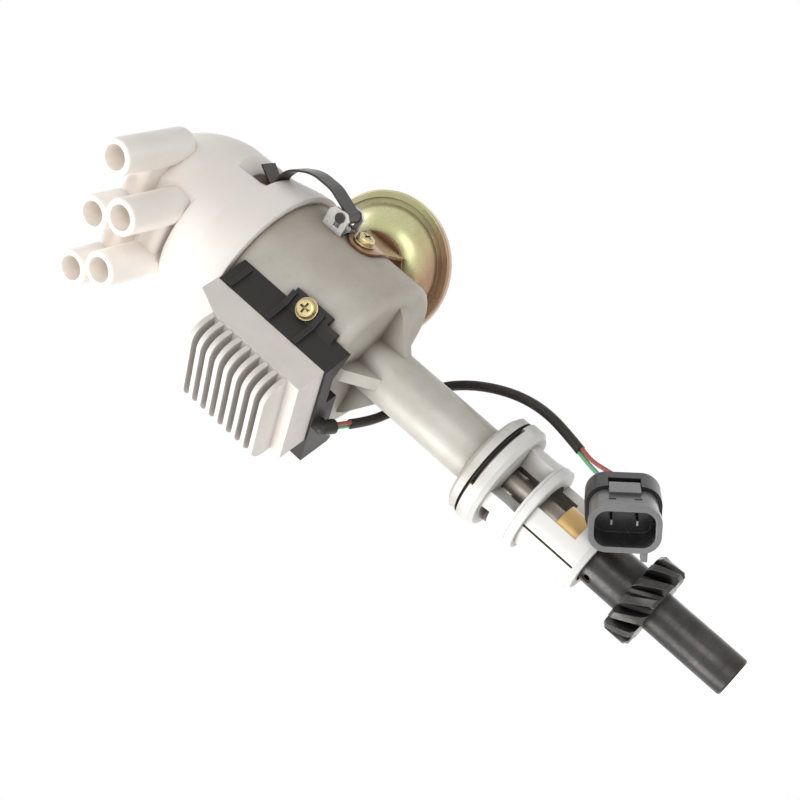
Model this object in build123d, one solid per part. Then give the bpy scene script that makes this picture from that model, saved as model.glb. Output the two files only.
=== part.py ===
from build123d import *
import os
from math import atan2, cos, degrees, pi, radians, sin, sqrt, tan

# Ignition distributor with side-tower cap, clip-on ignition module, vacuum
# canister and a pinned helical drive gear. Millimetres. The axis of the shaft
# is Z, with the cap up. The origin is where the flange seats on the engine.
# Azimuths are in degrees about Z, counted from the -Y side towards +X.

os.makedirs("parts", exist_ok=True)

# Fits
RUNNING_FIT = 0.05
LOOSE_FIT = 0.30
CLEARANCE = 0.60
# How far a cutting or joining body runs past the face that it meets
OVERRUN = 1.0
# Sides by which a box or cylinder is placed
LOW = Align.MIN
MID = Align.CENTER
HIGH = Align.MAX

# Bowl of the housing
RIM_Z = 146.0
BOWL_RADIUS = 39.2
BOWL_WALL = 3.2
BOWL_HEIGHT = 62.8
BOWL_FLOOR = 4.2
BOWL_CORNER = 4.5
GUSSET_AZIMUTH = 62.0
GUSSETS = 4
GUSSET_WIDTH = 6.0
GUSSET_DROP = 14.0
GUSSET_REACH = 31.0
GUSSET_TOE = 3.0
BUSH_BOSS_RADIUS = 13.5
BUSH_BOSS_HEIGHT = 8.0
LUG_DEPTH = 8.0
LUG_HEIGHT = 12.0
LUG_SLOPE = 3.0
LUG_ARC = 16.0

# Shank, flanges, cage and lower sleeve
SHANK_RADIUS = 13.45
SHANK_BORE = 8.5
CONE_HEIGHT = 4.4
CONE_FOOT = 2.2
CONE_EDGE = 1.6
UPPER_FLANGE_RADIUS = 24.6
UPPER_FLANGE_TOP_Z = 12.8
GROOVE_TOP_Z = 9.3
GROOVE_HEIGHT = 1.6
GROOVE_DEPTH = 2.6
LOWER_FLANGE_RADIUS = 25.5
LOWER_FLANGE_ROUND = 2.0
RELIEF_START_AZIMUTH = -26.0
RELIEF_ARC = 79.5
RELIEF_DEPTH = 1.4
CAGE_RADIUS = 20.4
CAGE_HEIGHT = 14.8
CAGE_WAIST = 0.7
WINDOW_HEIGHT = 13.2
WINDOW_AZIMUTHS = (15, 195)
WINDOW_ARC = 77.5
PORT_HEIGHT = 4.2
PORT_AZIMUTHS = (-75, 105)
PORT_ARC = 52.0
PILOT_RADIUS = 20.8
PILOT_HEIGHT = 4.2
PILOT_EDGE = 0.5
SLEEVE_RADIUS = 18.0
SLEEVE_HEIGHT = 30.0
SLEEVE_CHAMFER = 1.6
SLEEVE_RECESS = 2.4
CHAMBER_RADIUS = 13.6
CHAMBER_HEIGHT = 14.5
SIDE_WINDOW_START_AZIMUTH = 0.0
SIDE_WINDOW_ARC = 121.0
SIDE_WINDOW_HEIGHT = 20.8
SLIT_AZIMUTH = -32.5
SLIT_WIDTH = 1.1
SLIT_DEPTH = 1.4
SLIT_STOP = 3.0

# Shaft and bushes
SHAFT_RADIUS = 6.35
SHAFT_NECK = 5.5
SHAFT_CHAMFER = 0.8
LOWER_BUSH_RADIUS = 10.2
LOWER_BUSH_HEIGHT = 18.6
UPPER_BUSH_RADIUS = 9.6
UPPER_BUSH_HEIGHT = 20.0
WASHER_THICKNESS = 1.2

# Drive gear
HUB_RADIUS = 11.35
HUB_LENGTH = 21.1
GEAR_RADIUS = 19.5
GEAR_ROOT = 14.9
GEAR_WIDTH = 12.7
GEAR_TEETH = 13
GEAR_EDGE = 1.4
TOOTH_ROOT_SHARE = 0.72
TOOTH_TIP_SHARE = 0.34
HELIX_ANGLE = 33.0
TAIL_RADIUS = 9.16
TAIL_LENGTH = 40.6
TAIL_CHAMFER = 0.8
SHAFT_IN_TAIL = 24.0
ROLL_PIN_RADIUS = 2.2
ROLL_PIN_WALL = 0.7
ROLL_PIN_SINK = 0.5
ROLL_PIN_DROP = 4.2
ROLL_PIN_AZIMUTH = -54.0

# Centrifugal governor: the shaft turns clockwise seen from the cap
GOVERNOR_GAP = 2.6
GOVERNOR_THICKNESS = 2.0
GOVERNOR_RADIUS = 26.0
GOVERNOR_HUB = 10.5
WEIGHTS = 2
PIVOT_OFFSET = 18.0
PIVOT_RADIUS = 2.0
DRIVE_OFFSET = 10.5
DRIVE_RADIUS = 1.5
WEIGHT_THICKNESS = 4.6
WEIGHT_INNER = 19.0
WEIGHT_OUTER = 27.5
WEIGHT_EYE = 4.6
WEIGHT_START_AZIMUTH = 8.0
WEIGHT_ARC = 114.0
WEIGHT_ARM = 4.2
WEIGHT_BRIDGE = 7.5
POST_RADIUS = 1.2
POST_RISE = 2.5
POST_END_ARC = 8.0
FIXED_POST_OFFSET = 24.2
FIXED_POST_AZIMUTH = 152.0
SPRING_RADIUS = 1.9

# Advance sleeve, reluctor and rotor
SLEEVE_OUTER = 8.4
YOKE_RADIUS = 13.2
YOKE_THICKNESS = 2.0
RELUCTOR_RISE = 8.5
RELUCTOR_THICKNESS = 7.5
RELUCTOR_RADIUS = 13.0
RELUCTOR_ROOT = 10.6
RELUCTOR_LOBE = 4.2
LOBES = 4
ROTOR_RISE = 10.0
ROTOR_HEIGHT = 19.0
ROTOR_HUB_RADIUS = 11.5
ROTOR_ARM_WIDTH = 11.0
ROTOR_ARM_THICKNESS = 5.0
ROTOR_REACH = 23.0
ROTOR_SKIRT_RADIUS = 16.0
ROTOR_SKIRT_EDGE = 2.5
ROTOR_SKIRT_RISE = 8.0
ROTOR_SOCKET_ROOF = 8.0
CONTACT_THICKNESS = 1.4
CONTACT_WIDTH = 6.5
CONTACT_PAD = 5.0
CONTACT_OVERHANG = 0.6

# Pickup
PLATE_THICKNESS = 1.5
COLLAR_RADIUS = 13.6
COLLAR_BORE = 11.5
COLLAR_RISE = 2.4
PICKUP_INSET = 7.0
PLATE_GAP = 0.3
BASE_SCREW_AZIMUTHS = (20, 110, 245)
PICKUP_AZIMUTH = -75.0
POLE_GAP = 0.5
POLE_WIDTH = 4.0
POLE_HEIGHT = 4.5
POLE_FOOT_WIDTH = 12.0
POLE_FOOT_DEPTH = 3.5
COIL_WIDTH = 13.0
COIL_DEPTH = 5.5
COIL_CORNER = 2.0

# Vacuum canister, its link and its bracket
CANISTER_AZIMUTH = 161.0
CANISTER_OFFSET = -18.0
CANISTER_DROP = 15.4
CANISTER_RADIUS = 36.6
INNER_RIM_RADIUS = 33.6
RIM_OUT = 28.8
SHELL_THICKNESS = 1.2
DISH_DEPTH = 12.0
DISH_FLAT = 15.0
DISH_BULGE = 2.2
DISH_HOLE = 4.0
BACK_DEPTH = 13.0
BACK_FLAT = 24.0
RIM_LAP = 1.4
RIM_STEP = 3.4
RIM_EDGE = 0.8
WEB_THICKNESS = 0.72
PISTON_RADIUS = 27.0
PISTON_CUP = 9.6
PISTON_CUP_HEIGHT = 1.5
SPRING_WALL = 1.2
NIPPLE_RADIUS = 3.0
NIPPLE_BORE = 1.6
NIPPLE_LENGTH = 17.0
NIPPLE_FLANGE = 2.5
NIPPLE_CHAMFER = 0.5
ROD_WIDTH = 4.0
ROD_THICKNESS = 1.2
ROD_EYE = 3.4
LINK_PIN_RADIUS = 1.5
LINK_PIN_RISE = 1.0
VACUUM_ADVANCE_ANGLE = 7.0
STRAP_DROP = 39.0
STRAP_START_AZIMUTH = 54.0
STRAP_LEAVE_AZIMUTH = 82.0
STRAP_HEIGHT = 16.0
STRAP_THICKNESS = 1.6
ARM_HEIGHT = 24.0
FOOT_RADIUS = 16.5
REAR_EAR_START_AZIMUTH = 158.4
REAR_EAR_END_AZIMUTH = 182.0
REAR_ARM_ACROSS = 17.0
STRAP_SCREW_AZIMUTHS = (64, 173)
STRAP_SCREW_RISE = 8.5

# Screws
SCREW_HEAD_RADIUS = 4.2
SCREW_HEAD_HEIGHT = 2.6
SCREW_SHANK = 1.9
SCREW_WASHER_RADIUS = 5.1
SCREW_WASHER = 0.8
SCREW_RECESS_DEPTH = 1.2
SCREW_END = 1.0
BASE_SCREW_HEAD = 3.0
BASE_SCREW_HEIGHT = 1.8
BASE_SCREW_GRIP = 7.0

# Ignition module
MODULE_AZIMUTH = -53.3
MODULE_DROP = 2.4
MODULE_HEIGHT = 64.0
SINK_GAP = 2.0
SINK_DEPTH = 15.2
SINK_LEFT = -21.2
SINK_RIGHT = 27.9
SINK_CHAMFER_IN = 5.8
SINK_CHAMFER_DOWN = 14.0
FINS = 9
FIN_PITCH = 5.35
FIN_THICKNESS = 2.3
FIN_DEPTH = 12.4
FIN_CORNER = 8.5
FIN_MARGIN = 0.5
FIRST_FIN_DROP = 13.7
CASE_LEFT_INSET = 3.2
CASE_FLARE = 1.6
CASE_KNEE = 10.6
CASE_FRONT_DEPTH = 23.2
CASE_INSET = 0.4
CASE_BEVEL = 2.0
CASE_HIGH_BACK = 9.2
CASE_LOW_BACK = 17.2
CASE_STEP_DROP = 26.6
CASE_LIP_DROP = 1.2
CASE_LIP = 13.2
CASE_LIP_ENDS = (-20.0, 2.0)
TAB_THICKNESS = 3.0
TAB_TOP_DROP = 28.6
TAB_HEIGHT = 20.8
TAB_START_AZIMUTH = 40.0
TAB_END_AZIMUTH = 57.4
TAB_STEP_ARC = 5.5
BACK_TAB_ARC = 24.0
BACK_TAB_MARGIN = 5.5
BACK_SCREW_GAP = 1.55
RIB_HEIGHT = 2.6
RIB_WIDTH = 3.4
MODULE_SCREW_RISE = 11.2
MODULE_SCREW_AZIMUTH = -2.3
WIRE_BOSS_RADIUS = 3.4
WIRE_BOSS_LENGTH = 6.0

# Spring clips
CLIP_AZIMUTH = 63.0
CLIP_WIDTH = 10.0
CLIP_THICKNESS = 1.0
CLIP_PIN_RADIUS = 1.5
CLIP_PIN_STANDOFF = 6.6
CLIP_PIN_DROP = 18.2
CLIP_PIN_HEAD = 0.8
CLIP_LOOP = 3.2
CLIP_BOW = 6.8
CLIP_SEAT = 34.0
CLIP_TAB_OUT = 6.4
CLIP_TAB_UP = 10.6
CLIP_FOOT_BEND = 16.0
CLIP_BOW_BEND = 18.0
CLIP_TOP_BEND = 12.0
CLIP_HOOK_BEND = 6.0
CLIP_SEAT_BEND = 1.6
EAR_THICKNESS = 1.4
EAR_STANDOFF = 9.8
EAR_HEIGHT = 11.1
EAR_BELOW_PIN = 4.4
EAR_CORNER = 2.5
EAR_SLOT = 4.6
BRACKET_PLATE = 1.4

# Cap
SKIRT_OVERHANG = 3.8
SKIRT_RISE = 5.0
SKIRT_TAPER = 0.5
SKIRT_HEIGHT = 21.0
BARREL_INSET = 0.7
BARREL_TAPER = 0.4
CAP_HEIGHT = 80.0
DOME_START = 46.0
DOME_MIDDLE = 65.5
DOME_INSET = 6.9
CROWN_RADIUS = 17.0
CAVITY_INSET = 2.6
CAVITY_HEIGHT = 32.0
SPIGOT_DEPTH = 3.0
SPIGOT_GAP = 0.2
SEAM_WIDTH = 1.6
SEAM_DEPTH = 1.0
TOWER_AZIMUTH = -33.5
TOWER_RADIUS = 8.3
TOWER_BORE = 5.75
TOWER_DEPTH = 13.0
TOWER_LIP = 0.9
TOWER_ROOT = 13.0
TOWER_ROOT_ROUND = 5.5
UPPER_ROW_RISE = 61.0
LOWER_ROW_RISE = 42.5
UPPER_ROW = (-29.5, 1.0, 31.0)
LOWER_ROW = (-14.5, 14.0)
UPPER_FACE = 59.5
LOWER_FACE = 66.0
FLAT_FACE = 30.5
FLAT_MARGIN = 2.4
WEB_HALF = 5.5
WEB_FACE = 42.0
WEB_ROUND = 4.5
POCKET_WIDTH = 26.0
POCKET_FLOOR = 31.0
POCKET_RISE = 17.7
POCKET_HEIGHT = 20.0
POCKET_SLOPE = 8.0
POST_GAP = 0.4
POST_SIZE = 2.6
CONDUCTOR_RADIUS = 1.4
CONDUCTOR_COVER = 5.0
CUP_WALL = 0.9
CUP_DEPTH = 9.0
CUP_STEP = 0.6
BRUSH_RADIUS = 2.6
BRUSH_LENGTH = 8.0
BRUSH_GAP = 0.1
BRUSH_SPRING = 7.0
BRUSH_SPRING_WALL = 0.6
BRUSH_BOSS = 6.0
BRUSH_BOSS_HEIGHT = 4.5

# Harness and plug
SLEEVE_CABLE_RADIUS = 2.25
WIRE_RADIUS = 0.95
WIRE_SPREAD = 1.05
WIRE_LEAD = 10.0
WIRE_DROP = 8.0
WIRE_ENTRY = 10.0
PLUG_MOUTH = (15.4, -50.0, -55.7)
PLUG_AXIS = (-0.3373, -0.8475, -0.4097)
PLUG_WIDE_AXIS = (0.6280, 0.1200, -0.7689)
PLUG_WIDTH = 28.4
PLUG_HEIGHT = 20.0
PLUG_LENGTH = 21.0
PLUG_CORNER = 7.5
PLUG_RIM = 3.2
PLUG_STEP = 0.7
PLUG_WALL = 2.4
PLUG_DEPTH = 13.0
LOCK_LENGTH = 9.0
LOCK_LAP = 4.5
LOCK_GROWTH = 0.9
LOCK_NOTCH = 13.0
LOCK_NOTCH_DEPTH = 3.4
TONGUE_HEIGHT = 1.3
LATCH_ACROSS = 8.0
LATCH_WIDTH = 2.6
LATCH_DROP = 4.6
LATCH_LENGTH = 5.0
DIMPLE_WIDTH = 2.8
DIMPLE_DEPTH = 0.5
DIMPLE_BACK = 8.0
PIN_SPACING = 10.0
PIN_WIDTH = 2.2
PIN_THICKNESS = 0.8
PIN_LENGTH = 9.0
PIN_ROOT = 2.0

# Route points of the harness, placed by hand
CABLE_ROUTE = (
    (-27.4, 0.0, 70.9),
    (-21.5, 9.0, 68.0),
    (-12.0, 17.0, 65.2),
    (0.5, 20.6, 61.5),
    (12.2, 18.4, 55.6),
    (20.8, 13.0, 45.0),
    (27.2, 7.0, 32.8),
    (31.5, 2.0, 19.9),
    (32.8, -2.8, 7.4),
    (31.6, -7.4, -4.6),
    (29.4, -11.8, -16.0),
)

# Heights and radii that follow from the sizes above
BOWL_BOTTOM_Z = RIM_Z - BOWL_HEIGHT
BOWL_INNER = BOWL_RADIUS - BOWL_WALL
FLOOR_Z = BOWL_BOTTOM_Z + BOWL_FLOOR
BOSS_TOP_Z = FLOOR_Z + BUSH_BOSS_HEIGHT
GROOVE_BOTTOM_Z = GROOVE_TOP_Z - GROOVE_HEIGHT
CAGE_BOTTOM_Z = -CAGE_HEIGHT
PILOT_BOTTOM_Z = CAGE_BOTTOM_Z - PILOT_HEIGHT
SLEEVE_BOTTOM_Z = PILOT_BOTTOM_Z - SLEEVE_HEIGHT
RECESS_Z = SLEEVE_BOTTOM_Z + SLEEVE_RECESS
RECESS_RADIUS = HUB_RADIUS + 2 * CLEARANCE
CHAMBER_BOTTOM_Z = RECESS_Z + LOWER_BUSH_HEIGHT
HUB_TOP_Z = RECESS_Z - WASHER_THICKNESS - 2 * RUNNING_FIT
GEAR_TOP_Z = HUB_TOP_Z - HUB_LENGTH
GEAR_BOTTOM_Z = GEAR_TOP_Z - GEAR_WIDTH
TAIL_END_Z = GEAR_BOTTOM_Z - TAIL_LENGTH
GOVERNOR_Z = BOSS_TOP_Z + GOVERNOR_GAP
WEIGHT_Z = GOVERNOR_Z + GOVERNOR_THICKNESS + LOOSE_FIT
WEIGHT_TOP_Z = WEIGHT_Z + WEIGHT_THICKNESS
YOKE_Z = WEIGHT_TOP_Z + LOOSE_FIT
YOKE_TOP_Z = YOKE_Z + YOKE_THICKNESS
SPRING_Z = YOKE_TOP_Z + POST_RISE
CANISTER_Z = RIM_Z - CANISTER_DROP
ROD_Z = CANISTER_Z - ROD_THICKNESS / 2
PICKUP_TOP_Z = ROD_Z - LOOSE_FIT - LINK_PIN_RISE
PICKUP_Z = PICKUP_TOP_Z - PLATE_THICKNESS
BASE_TOP_Z = PICKUP_Z - PLATE_GAP
BASE_Z = BASE_TOP_Z - PLATE_THICKNESS
PICKUP_RADIUS = BOWL_INNER - PICKUP_INSET
BASE_SCREW_OFFSET = BOWL_INNER - LUG_DEPTH / 2
RELUCTOR_Z = BASE_Z + RELUCTOR_RISE
ROTOR_Z = RELUCTOR_Z + RELUCTOR_THICKNESS + ROTOR_RISE
ROTOR_TOP_Z = ROTOR_Z + ROTOR_HEIGHT
SOCKET_Z = ROTOR_TOP_Z - ROTOR_SOCKET_ROOF
SHAFT_TOP_Z = SOCKET_Z - CLEARANCE
RIM_PLANE = BOWL_RADIUS + RIM_OUT
DISH_PLANE = RIM_PLANE - DISH_DEPTH
BACK_PLANE = RIM_PLANE + BACK_DEPTH
ROD_TRAVEL = -CANISTER_OFFSET * radians(VACUUM_ADVANCE_ANGLE)
STRAP_BOTTOM_Z = RIM_Z - STRAP_DROP
STRAP_SCREW_Z = STRAP_BOTTOM_Z + STRAP_SCREW_RISE
MODULE_TOP_Z = RIM_Z - MODULE_DROP
MODULE_BOTTOM_Z = MODULE_TOP_Z - MODULE_HEIGHT
SINK_FACE = BOWL_RADIUS + SINK_GAP
CASE_FRONT = SINK_FACE - CASE_FRONT_DEPTH
CASE_LEFT = CASE_LEFT_INSET - BOWL_RADIUS
CASE_LEFT_ARC = degrees(atan2(-CASE_LEFT, SINK_FACE - CASE_LOW_BACK))
BACK_SCREW_ARC = CASE_LEFT_ARC + degrees((SCREW_WASHER_RADIUS + BACK_SCREW_GAP) / BOWL_RADIUS)
MODULE_BACK_SCREW_AZIMUTH = MODULE_AZIMUTH - BACK_SCREW_ARC
BACK_TAB_AZIMUTH = -BACK_SCREW_ARC - degrees(BACK_TAB_MARGIN / BOWL_RADIUS)
CASE_LOW_Z = BOWL_BOTTOM_Z + BOWL_CORNER
CASE_BOTTOM_Z = MODULE_BOTTOM_Z - CASE_LIP_DROP
TAB_TOP_Z = MODULE_TOP_Z - TAB_TOP_DROP
TAB_BOTTOM_Z = TAB_TOP_Z - TAB_HEIGHT
MODULE_SCREW_Z = TAB_BOTTOM_Z + MODULE_SCREW_RISE
CLIP_PIN_Z = RIM_Z - CLIP_PIN_DROP
CLIP_PIN_OUT = BOWL_RADIUS + CLIP_PIN_STANDOFF
EAR_OUT = BOWL_RADIUS + EAR_STANDOFF
EAR_BOTTOM_Z = CLIP_PIN_Z - EAR_BELOW_PIN
EAR_TOP_Z = EAR_BOTTOM_Z + EAR_HEIGHT
EAR_SPAN = CLIP_WIDTH + 2 * CLEARANCE + 2 * EAR_THICKNESS
CAP_TOP_Z = RIM_Z + CAP_HEIGHT
ROOF_Z = RIM_Z + CAVITY_HEIGHT
SKIRT_RADIUS = BOWL_RADIUS + SKIRT_OVERHANG
BARREL_RADIUS = BOWL_RADIUS - BARREL_INSET
CAVITY_RADIUS = BOWL_INNER - CAVITY_INSET
UPPER_ROW_Z = RIM_Z + UPPER_ROW_RISE
LOWER_ROW_Z = RIM_Z + LOWER_ROW_RISE
POCKET_Z = RIM_Z + POCKET_RISE
POST_CIRCLE = ROTOR_REACH + CONTACT_OVERHANG + POST_GAP + POST_SIZE
POST_BOTTOM_Z = ROTOR_TOP_Z + LOOSE_FIT
BRUSH_Z = ROTOR_TOP_Z + CONTACT_THICKNESS + BRUSH_GAP
COIL_FOOT_Z = BRUSH_Z + BRUSH_LENGTH + BRUSH_SPRING
PLUG_END = PLUG_LENGTH + LOCK_LENGTH


def station(azimuth):
    """Turns a piece built on the -Y side to its azimuth about the shaft."""
    return Rot(0, 0, azimuth)


def on_radius(radius, azimuth, z):
    """A point at a radius, azimuth and height."""
    return Vector(radius * sin(radians(azimuth)), -radius * cos(radians(azimuth)), z)


def post(radius, height):
    """A cylinder that stands on Z = 0."""
    return Cylinder(radius, height, align=(MID, MID, LOW))


def block(across, deep, height):
    """A box that stands on Z = 0 and runs from Y = 0 towards -Y."""
    return Box(across, deep, height, align=(MID, HIGH, LOW))


def disc(radius, bottom, top):
    """A cylinder about the shaft axis between two heights."""
    return Pos(0, 0, bottom) * post(radius, top - bottom)


def ring(outer, inner, bottom, top):
    """A tube about the shaft axis between two heights."""
    return disc(outer, bottom, top) - disc(inner, bottom - OVERRUN, top + OVERRUN)


def turned(*points):
    """A solid of revolution about Z from radius and height pairs."""
    outline = Plane.XZ * make_face(Polyline(*points, close=True))
    return revolve(outline, Axis.Z)


def sector(inner, outer, bottom, top, start, arc):
    """A block of a ring, from one azimuth over an arc."""
    outline = Plane.XZ * Pos(inner, bottom) * Rectangle(outer - inner, top - bottom, align=(LOW, LOW))
    return Rot(0, 0, start - 90) * revolve(outline, Axis.Z, revolution_arc=arc)


def rod(start, end, radius):
    """A round bar between two points."""
    run = Vector(end) - Vector(start)
    return Plane(origin=start, z_dir=run) * post(radius, run.length)


def radial_hole(radius, azimuth, z, inner, outer):
    """A round bar along a radius, as a hole or a shank."""
    return rod(on_radius(inner, azimuth, z), on_radius(outer, azimuth, z), radius)


def screw(head, height, shank, length, washer=0.0, washer_thickness=0.0):
    """A pan-head screw with a cross recess, head up, seated at Z = 0."""
    body = Pos(0, 0, washer_thickness) * post(head, height)
    body = fillet(body.edges().sort_by(Axis.Z)[-1], min(height, head) * 0.45)
    body += Pos(0, 0, -length) * post(shank, length + height / 2)
    for turn in (0, 90):
        slot = Box(head * 1.15, head * 0.26, 2 * SCREW_RECESS_DEPTH)
        body -= Pos(0, 0, washer_thickness + height) * Rot(0, 0, turn) * slot
    if washer > 0:
        body += post(washer, washer_thickness)
    return body


def radial_screw(azimuth, z, seat, length):
    """A screw with its washer driven towards the shaft axis, seated at a radius."""
    head = (SCREW_HEAD_RADIUS, SCREW_HEAD_HEIGHT)
    piece = screw(*head, SCREW_SHANK, length, SCREW_WASHER_RADIUS, SCREW_WASHER)
    outward = on_radius(1, azimuth, 0)
    return Plane(origin=on_radius(seat, azimuth, z), x_dir=(0, 0, 1), z_dir=outward) * piece


# Housing: one casting from the bowl's rim to the end of the lower sleeve
def flanges():
    """Low cone and the two flanges with their groove and the relief above the lower one."""
    root = UPPER_FLANGE_RADIUS - GROOVE_DEPTH
    shape = turned(
        (0, UPPER_FLANGE_TOP_Z + CONE_HEIGHT),
        (SHANK_RADIUS, UPPER_FLANGE_TOP_Z + CONE_HEIGHT),
        (SHANK_RADIUS + CONE_FOOT, UPPER_FLANGE_TOP_Z + CONE_HEIGHT - OVERRUN),
        (UPPER_FLANGE_RADIUS - CONE_FOOT, UPPER_FLANGE_TOP_Z + CONE_EDGE),
        (UPPER_FLANGE_RADIUS, UPPER_FLANGE_TOP_Z),
        (UPPER_FLANGE_RADIUS, GROOVE_TOP_Z),
        (root, GROOVE_TOP_Z),
        (root, GROOVE_BOTTOM_Z),
        (LOWER_FLANGE_RADIUS, GROOVE_BOTTOM_Z),
        (LOWER_FLANGE_RADIUS, LOWER_FLANGE_ROUND),
        (LOWER_FLANGE_RADIUS - LOWER_FLANGE_ROUND, 0),
        (0, 0),
    )
    relief_z = GROOVE_BOTTOM_Z - RELIEF_DEPTH
    reach = LOWER_FLANGE_RADIUS + OVERRUN
    return shape - sector(root, reach, relief_z, GROOVE_BOTTOM_Z, RELIEF_START_AZIMUTH, RELIEF_ARC)


def cage():
    """Waisted cage between the seat and the pilot ring."""
    waist = (CAGE_RADIUS - CAGE_WAIST, CAGE_BOTTOM_Z * 0.6)
    outline = Plane.XZ * make_face(
        Line((0, 0), (CAGE_RADIUS, 0))
        + ThreePointArc((CAGE_RADIUS, 0), waist, (CAGE_RADIUS, CAGE_BOTTOM_Z))
        + Line((CAGE_RADIUS, CAGE_BOTTOM_Z), (0, CAGE_BOTTOM_Z))
        + Line((0, CAGE_BOTTOM_Z), (0, 0))
    )
    return revolve(outline, Axis.Z)


def collar():
    """Flanges, cage, pilot ring and lower sleeve."""
    pilot = disc(PILOT_RADIUS, PILOT_BOTTOM_Z, CAGE_BOTTOM_Z)
    pilot = chamfer(pilot.edges().filter_by(GeomType.CIRCLE), PILOT_EDGE)
    sleeve = turned(
        (0, PILOT_BOTTOM_Z),
        (SLEEVE_RADIUS, PILOT_BOTTOM_Z),
        (SLEEVE_RADIUS, SLEEVE_BOTTOM_Z + SLEEVE_CHAMFER * 1.6),
        (SLEEVE_RADIUS - SLEEVE_CHAMFER, SLEEVE_BOTTOM_Z),
        (0, SLEEVE_BOTTOM_Z),
    )
    return flanges() + cage() + pilot + sleeve


def collar_openings():
    """Windows of the cage, ports, the side window, the slit and the bores."""
    tools = disc(LOWER_BUSH_RADIUS, RECESS_Z - OVERRUN, GROOVE_BOTTOM_Z - OVERRUN)
    tools += disc(RECESS_RADIUS, SLEEVE_BOTTOM_Z - OVERRUN, RECESS_Z)
    tools += disc(CHAMBER_RADIUS, CHAMBER_BOTTOM_Z, CHAMBER_BOTTOM_Z + CHAMBER_HEIGHT)
    reach = CAGE_RADIUS + OVERRUN
    top = -LOOSE_FIT
    for azimuth in WINDOW_AZIMUTHS:
        start = azimuth - WINDOW_ARC / 2
        tools += sector(SHANK_BORE, reach, top - WINDOW_HEIGHT, top, start, WINDOW_ARC)
    for azimuth in PORT_AZIMUTHS:
        start = azimuth - PORT_ARC / 2
        tools += sector(SHANK_BORE, reach, top - PORT_HEIGHT, top, start, PORT_ARC)
    side = (PILOT_BOTTOM_Z - SIDE_WINDOW_HEIGHT, PILOT_BOTTOM_Z)
    tools += sector(LOWER_BUSH_RADIUS, reach, *side, SIDE_WINDOW_START_AZIMUTH, SIDE_WINDOW_ARC)
    slit = Box(SLIT_WIDTH, 2 * SLIT_DEPTH, SLEEVE_HEIGHT - SLIT_STOP, align=(MID, MID, HIGH))
    return tools + station(SLIT_AZIMUTH) * Pos(0, -SLEEVE_RADIUS, PILOT_BOTTOM_Z) * slit


def gusset():
    """A tapered web from the shank up to the bowl's floor, on the -Y side."""
    root = -SHANK_RADIUS + CONE_FOOT
    top = BOWL_BOTTOM_Z + OVERRUN
    low = BOWL_BOTTOM_Z - GUSSET_DROP
    web = Plane.YZ * make_face(
        Polyline(
            (root, top),
            (-GUSSET_REACH, top),
            (-GUSSET_REACH + GUSSET_TOE, BOWL_BOTTOM_Z - GUSSET_TOE),
            (-SHANK_RADIUS, low),
            (root, low),
            close=True,
        )
    )
    return extrude(web, GUSSET_WIDTH / 2, both=True)


def base_lug(azimuth):
    """Lug on the bowl's wall, sloped below, that carries the pickup's base plate."""
    inner = BOWL_INNER - LUG_DEPTH
    outline = Plane.XZ * make_face(
        Polyline(
            (inner, BASE_Z),
            (BOWL_INNER + OVERRUN, BASE_Z),
            (BOWL_INNER + OVERRUN, BASE_Z - LUG_HEIGHT),
            (inner, BASE_Z - LUG_HEIGHT + LUG_SLOPE),
            close=True,
        )
    )
    return Rot(0, 0, azimuth - LUG_ARC / 2 - 90) * revolve(outline, Axis.Z, revolution_arc=LUG_ARC)


def base_screw_hole(azimuth, depth):
    """Shank of a base screw below the base plate's top face."""
    top = on_radius(BASE_SCREW_OFFSET, azimuth, BASE_TOP_Z + OVERRUN)
    return rod(top, top - Vector(0, 0, depth + OVERRUN), BASE_SCREW_HEAD / 2)


def housing():
    """The casting."""
    bowl = disc(BOWL_RADIUS, BOWL_BOTTOM_Z, RIM_Z)
    bowl = fillet(bowl.edges().filter_by(GeomType.CIRCLE).sort_by(Axis.Z)[0], BOWL_CORNER)
    body = bowl + disc(SHANK_RADIUS, 0, BOWL_BOTTOM_Z + OVERRUN) + collar()
    for index in range(GUSSETS):
        body += station(GUSSET_AZIMUTH + index * 360 / GUSSETS) * gusset()
    body -= disc(BOWL_INNER, FLOOR_Z, RIM_Z + OVERRUN)
    body += disc(BUSH_BOSS_RADIUS, FLOOR_Z - OVERRUN, BOSS_TOP_Z)
    for azimuth in BASE_SCREW_AZIMUTHS:
        body += base_lug(azimuth)
        body -= base_screw_hole(azimuth, PLATE_THICKNESS + BASE_SCREW_GRIP + LOOSE_FIT)
    body -= disc(SHANK_BORE, -SLEEVE_HEIGHT, BOSS_TOP_Z + OVERRUN)
    body -= disc(UPPER_BUSH_RADIUS, BOSS_TOP_Z - UPPER_BUSH_HEIGHT, BOSS_TOP_Z + OVERRUN)
    body -= collar_openings()
    for azimuth, z in screw_places():
        body -= radial_hole(SCREW_SHANK, azimuth, z, BOWL_INNER - LUG_DEPTH / 2, BOWL_RADIUS + OVERRUN)
    return body - rod_slot()


def screw_places():
    """Azimuth and height of each hole in the bowl's wall: module, strap and clips."""
    places = [(MODULE_SCREW_AZIMUTH, MODULE_SCREW_Z), (MODULE_BACK_SCREW_AZIMUTH, MODULE_SCREW_Z)]
    places += [(azimuth, STRAP_SCREW_Z) for azimuth in STRAP_SCREW_AZIMUTHS]
    places += [(azimuth, CLIP_PIN_Z) for azimuth in clip_azimuths()]
    return places


def rod_slot():
    """Slot in the bowl's wall for the link rod."""
    slot = Box(ROD_WIDTH + 5 * CLEARANCE, 6 * BOWL_WALL, ROD_THICKNESS + 5 * CLEARANCE)
    wall = sqrt(BOWL_RADIUS ** 2 - CANISTER_OFFSET ** 2)
    return station(CANISTER_AZIMUTH) * Pos(CANISTER_OFFSET, -wall, CANISTER_Z) * slot


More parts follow.
